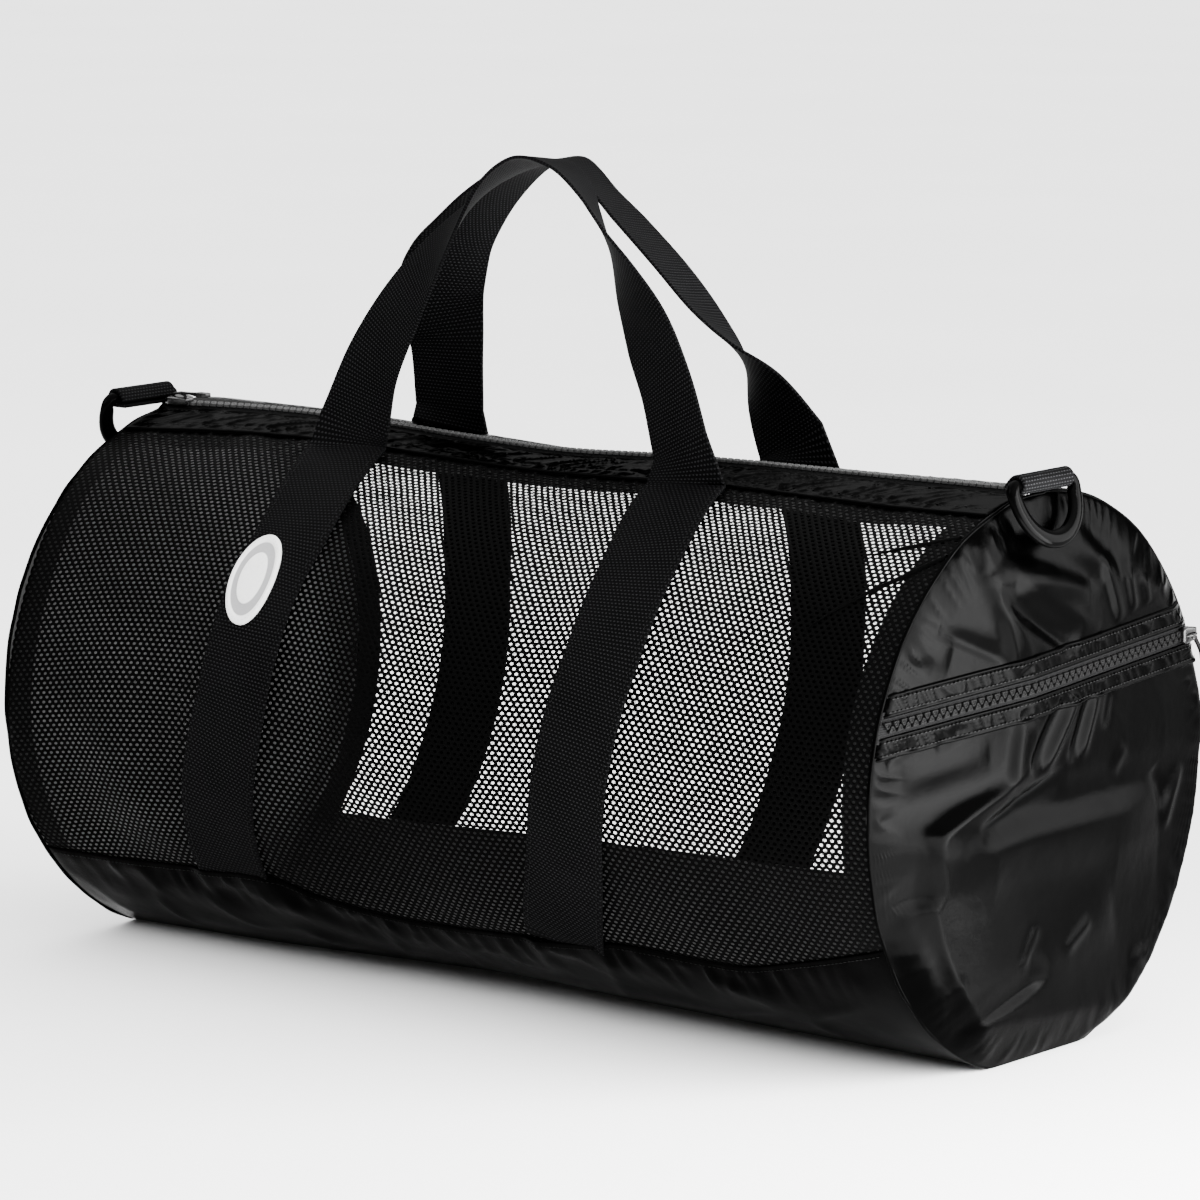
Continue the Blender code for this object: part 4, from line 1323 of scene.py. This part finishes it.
def d_ring(word, side):
    """A moulded D-ring: a round bar in the webbing loop and a broad bow that leans on the end of the bag."""
    half = RING_WIDTH / 2
    corner = np.radians(np.linspace(90, 0, 9))
    bow = np.radians(np.linspace(-6, -174, 41))
    right = np.stack((half - RING_CORNER * (1 - np.cos(corner)), -RING_CORNER * (1 - np.sin(corner))), 1)
    round_part = np.stack((half * np.cos(bow), -RING_CORNER + (RING_DEPTH - RING_CORNER) * np.sin(bow)), 1)
    bar = np.stack((np.linspace(-half + RING_CORNER, half - RING_CORNER, 12)[1:-1], np.zeros(10)), 1)
    flat = np.concatenate((right, round_part, right[::-1] * (-1, 1), bar))
    ahead = unit(np.roll(flat, -1, 0) - np.roll(flat, 1, 0))
    inward = np.stack((ahead[:, 1], -ahead[:, 0]), 1) * -1
    inward *= np.sign(((np.array((0, -RING_DEPTH / 2)) - flat) * inward).sum(1))[:, None]
    broad = smooth(1 * MM, 9 * MM, -flat[:, 1])
    turn = np.linspace(0, math.tau, 15)[:-1]
    in_plane = RING_BAR / 2 + 1.6 * MM * broad
    thick = RING_BAR / 2 - 0.5 * MM * broad
    shape = [np.sign(part) * np.abs(part) ** 0.8 for part in (np.cos(turn), np.sin(turn))]
    centre = flat + inward * (1.4 * MM * broad)[:, None]
    plane = centre[:, None, :] + inward[:, None, :] * (in_plane[:, None] * shape[0])[:, :, None]
    height = thick[:, None] * shape[1]
    lean = math.radians(RING_LEAN)
    drop = plane[..., 1]
    points = np.stack((-side * drop * math.sin(lean) + side * height * math.cos(lean), plane[..., 0],
                       drop * math.cos(lean) + height * math.sin(lean)), -1) + ring_place(side)
    points = np.concatenate((points, points[:1]))
    points = np.concatenate((points, points[:, :1]), 1)
    name = word + "_ring_plastic"
    mesh = joined(grid_mesh(name, points, points[..., :2]), outward=True)
    add_piece(name, mesh, RING_PLASTIC, body=word + "_ring", nodes=[word + "_ring"])


def ring_tab(word, side):
    """A webbing loop round a D-ring's bar: both its layers come out of the seam at the zip's end."""
    bar = ring_place(side)
    radius = RING_BAR / 2 + RING_ROOM + WEBBING
    turn = np.radians(np.linspace(-90, 90, 25))
    lower = np.stack((np.linspace(TAB_LENGTH, 0.4 * MM, 6), np.full(6, -radius)), 1)
    round_part = np.stack((-radius * np.cos(turn), radius * np.sin(turn)), 1)
    t = np.linspace(0, 1, 8)[1:, None]
    high = -radius + 2 * WEBBING + 0.3 * MM
    upper = np.concatenate((t * TAB_LENGTH, high + (radius - high) * (1 - t ** 2)), 1)
    profile = np.concatenate((lower, round_part, upper))
    across = np.concatenate(([-0.5, -0.48], np.linspace(-0.44, 0.44, 9), [0.48, 0.5])) * TAB_WIDTH
    x, z = bar[0] - side * profile[:, 0], bar[2] + profile[:, 1]
    rows = spread(x[:, None], bar[1] + across, z[:, None])
    pattern = spread(across, run_along(profile)[:, None])
    if side < 0:
        rows, pattern = rows[::-1], pattern[::-1]
    name = word + "_tab_webbing"
    add_piece(name, wall(grid_mesh(name, rows, pattern), WEBBING), STRAP, nodes=[word + "_tab"])


for word, side in (("left", -1), ("right", 1)):
    d_ring(word, side)
    ring_tab(word, side)


# Badge
def badge():
    """The oval badge on the front left webbing: a raised rim, a groove and a raised plain middle."""
    profile = np.array([
        (1.0, 0.0), (1.0, 1.2), (0.985, 1.75), (0.95, 2.0), (0.88, 2.0), (0.855, 1.85), (0.84, 1.35),
        (0.80, 1.3), (0.60, 1.3), (0.575, 1.4), (0.56, 1.75), (0.53, 1.85), (0.35, 1.95), (0.15, 2.0),
        (0.0, 2.0),
    ])
    turn = np.linspace(0, math.tau, 97)[None, :]
    share = profile[:, 0][:, None]
    across = np.cos(turn) * share * BADGE_WIDTH / 2
    upward = np.sin(turn) * share * BADGE_HEIGHT / 2
    x = BADGE_X + across
    lift = STRAP_LIFT + WEBBING + 0.3 * MM + profile[:, 1][:, None] * MM
    points = barrel(x, BADGE_ANGLE - girth_degrees(x, upward), lift)
    mesh = joined(grid_mesh("badge_patch", points, np.stack((across, upward), -1)))
    add_piece("badge_patch", mesh, RUBBER, nodes=["badge"])
    ring = np.linspace(0, math.tau, 120)
    stitched = 0.915
    x = BADGE_X + np.cos(ring) * stitched * BADGE_WIDTH / 2
    angle = BADGE_ANGLE - girth_degrees(x, np.sin(ring) * stitched * BADGE_HEIGHT / 2)
    line = barrel_line(x, angle, STRAP_LIFT + WEBBING + 2.25 * MM)
    stitches = bars("badge_stitches", [line], PALE_THREAD, BADGE_STITCH_PITCH, BADGE_STITCH, 0.05, 9)
    add_piece("badge_stitches", stitches, PALE_THREAD)


badge()


# Sliders and pulls
def rounded(name, size, rings, bevel):
    """A bevelled block whose sections follow a table of width and height shares along its length."""
    work = bmesh.new()
    loops = []
    for run, wide, high in rings:
        y, z = size[1] / 2 * wide, size[2] / 2 * high
        loops.append([work.verts.new((run * size[0], a, b)) for a, b in ((-y, -z), (y, -z), (y, z), (-y, z))])
    for first, second in zip(loops, loops[1:]):
        for i in range(4):
            k = (i + 1) % 4
            work.faces.new((first[i], second[i], second[k], first[k]))
    work.faces.new(loops[0])
    work.faces.new(list(reversed(loops[-1])))
    bmesh.ops.recalc_face_normals(work, faces=work.faces)
    mesh = bpy.data.meshes.new(name)
    work.to_mesh(mesh)
    work.free()
    return shaped(mesh, ("BEVEL", {"width": bevel, "segments": 3, "limit_method": "ANGLE"}),
                  ("SUBSURF", {"levels": 1, "render_levels": 1}))


def slider(name, node, centre, along_way, outward, size):
    """A zip slider: a waisted body and an arched bridge that holds the pull."""
    waist = [(-0.5, 0.72, 0.8), (-0.3, 1.0, 1.0), (0.1, 0.9, 1.0), (0.5, 0.7, 0.8)]
    body = rounded(name, size, waist, 0.7 * MM)
    arch = np.radians(np.linspace(0, 180, 15))
    path = np.stack((np.cos(arch) * size[0] * 0.34, 0 * arch, size[2] * 0.35 + np.sin(arch) * 2.4 * MM), 1)
    mesh = merged(name, [body, swept(name, path, 0.8 * MM, 2, False)])
    side_way = np.cross(outward, along_way)
    turn = Matrix(np.stack((along_way, side_way, outward), 1).tolist()).to_4x4()
    mesh.transform(Matrix.Translation(centre.tolist()) @ turn)
    add_piece(name, mesh, ENAMEL, nodes=[node])


def pull(name, node, hinge, direction, length):
    """A pull: an eye at the hinge, a slim neck and a thicker ribbed grip."""
    width, thickness = 5 * MM, 2.4 * MM
    grip = rounded(name, (length, width, thickness), [
        (0.10, 0.55, 0.6), (0.40, 0.55, 0.6), (0.55, 0.75, 0.8), (0.66, 1.15, 1.2), (0.80, 1.0, 1.0),
        (0.86, 1.15, 1.2), (0.98, 0.95, 1.0)], 0.35 * MM)
    eye_turn = np.radians(np.linspace(0, 360, 17)[:-1])
    eye = spread(0.06 * length + np.cos(eye_turn) * 1.5 * MM, np.sin(eye_turn) * 1.9 * MM, 0.0)
    mesh = merged(name, [grip, swept(name, eye, 0.55 * MM, 2, True)])
    turn = Vector(direction).to_track_quat("X", "Z").to_matrix().to_4x4()
    mesh.transform(Matrix.Translation(hinge) @ turn)
    add_piece(name, mesh, ENAMEL, body=node, nodes=[node])


def place_sliders():
    """Both sliders on their zips, with their pulls."""
    x = -HALF_LENGTH + SLIDER_FROM_END
    slope = float(seam("zip", x))
    outward = np.array((0, -math.sin(math.radians(slope)), math.cos(math.radians(slope))))
    slider("main_slider_body", "main_slider", barrel(x, slope, 4.6 * MM), np.array((1.0, 0.0, 0.0)), outward,
           MAIN_SLIDER)
    pull("main_pull_tab", "main_pull", MAIN_PULL_HINGE, (1, 0, 0), MAIN_PULL_LENGTH)
    low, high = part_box("pocket_slider")
    rise = math.atan2(POCKET_BACK[1] - POCKET_FRONT[1], POCKET_BACK[0] - POCKET_FRONT[0])
    along_zip = np.array((0.0, math.cos(rise), math.sin(rise)))
    slider("pocket_slider_body", "pocket_slider", np.array((low + high) / 2), along_zip,
           np.array((1.0, 0.0, 0.0)), POCKET_SLIDER)
    pull("pocket_pull_tab", "pocket_pull", POCKET_PULL_HINGE, (0.55, 0, -0.84), POCKET_PULL_LENGTH)


place_sliders()

stitches = bars("seam_stitches", stitch_lines, THREAD, STITCH_PITCH, STITCH, 0.06, 21)
add_piece("seam_stitches", stitches, THREAD)

# The form of a record for a cloth piece as it was cut: flat width and length in metres, and how it is held.
# No pieces are listed.
Cut = namedtuple("Cut", "piece width length area held sewn_on", defaults=[()])

# Camera
CAMERA_PLACE = Vector((2.0965, -2.5790, 0.7555))
CAMERA_RIGHT = Vector((0.7766, 0.6299, 0.0)).normalized()
CAMERA_AHEAD = Vector((-0.6218, 0.7666, -0.1605)).normalized()
camera_data = bpy.data.cameras.new("camera")
camera_data.lens = 180
camera_data.sensor_width = 36
camera_data.clip_end = 60
camera = bpy.data.objects.new("camera", camera_data)
camera_up = CAMERA_RIGHT.cross(CAMERA_AHEAD)
camera.matrix_world = Matrix.Translation(CAMERA_PLACE) @ Matrix(
    (CAMERA_RIGHT, camera_up, -CAMERA_AHEAD)).transposed().to_4x4()
bpy.context.scene.collection.objects.link(camera)
bpy.context.scene.camera = camera

# Lights: the spread is how many degrees wide a softbox shines
Lamp = namedtuple("Lamp", "name place target wide high power spread", defaults=[180])
LAMPS = [
    Lamp("right_softbox", (1.055, 0.005, 0.28), (0.655, -0.290, 0.28), 0.96, 0.54, 80, 130),
    Lamp("high_softbox", (2.83, 3.11, 0.87), (0.31, 0, 0.16), 2.0, 1.7, 280),
    Lamp("low_softbox", (0.64, -0.18, 0.005), (0.64, -0.18, 1.0), 0.46, 0.56, 35),
    Lamp("back_softbox", (-1.5, 2.0, 0.95), (0, 0, 0.3), 2.6, 0.8, 4),
    Lamp("front_softbox", (-1.6, -2.2, 1.9), (0, 0, 0.15), 1.6, 1.6, 60),
]
for lamp in LAMPS:
    light = bpy.data.lights.new(lamp.name, "AREA")
    light.shape = "RECTANGLE"
    light.size = lamp.wide
    light.size_y = lamp.high
    light.energy = lamp.power
    light.spread = math.radians(lamp.spread)
    holder = bpy.data.objects.new(lamp.name, light)
    holder.location = lamp.place
    holder.rotation_euler = (Vector(lamp.target) - Vector(lamp.place)).to_track_quat("-Z", "Y").to_euler()
    holder.visible_camera = False
    bpy.context.scene.collection.objects.link(holder)

world = bpy.data.worlds.new("studio")
world.use_nodes = True
sky = Graph(world.node_tree)
way = sky.node("ShaderNodeSeparateXYZ", {}, {"Vector": sky.read("ShaderNodeTexCoord", "Generated")})
backdrop = world.node_tree.nodes["Background"]
sky.feed(backdrop.inputs["Color"], (1, 1, 1, 1))
sky.feed(backdrop.inputs["Strength"], Value(sky, way.outputs["Z"]).rise(0.30, 0.75) * 5 + 0.15)
bpy.context.scene.world = world

# Floor
floor_finish = Finish("pale_floor", specular=0.2)
floor_tone = floor_finish.noise(0.4, 2)
floor_finish.relief(floor_finish.noise(0.002, 2), 0.1 * MM, 0.2)
floor_finish.done(floor_finish.mix(floor_tone, 0.80, 0.86), 0.7 + floor_tone * 0.1)
FLOOR_REACH = 14
floor_steps = np.linspace(-FLOOR_REACH, FLOOR_REACH, 9)
floor_mesh = grid_mesh("floor", spread(floor_steps, floor_steps[:, None], -0.5 * MM), np.zeros((9, 9, 2)))
floor_mesh.materials.append(floor_finish.material)
floor = bpy.data.objects.new("floor", floor_mesh)
bpy.context.scene.collection.objects.link(floor)
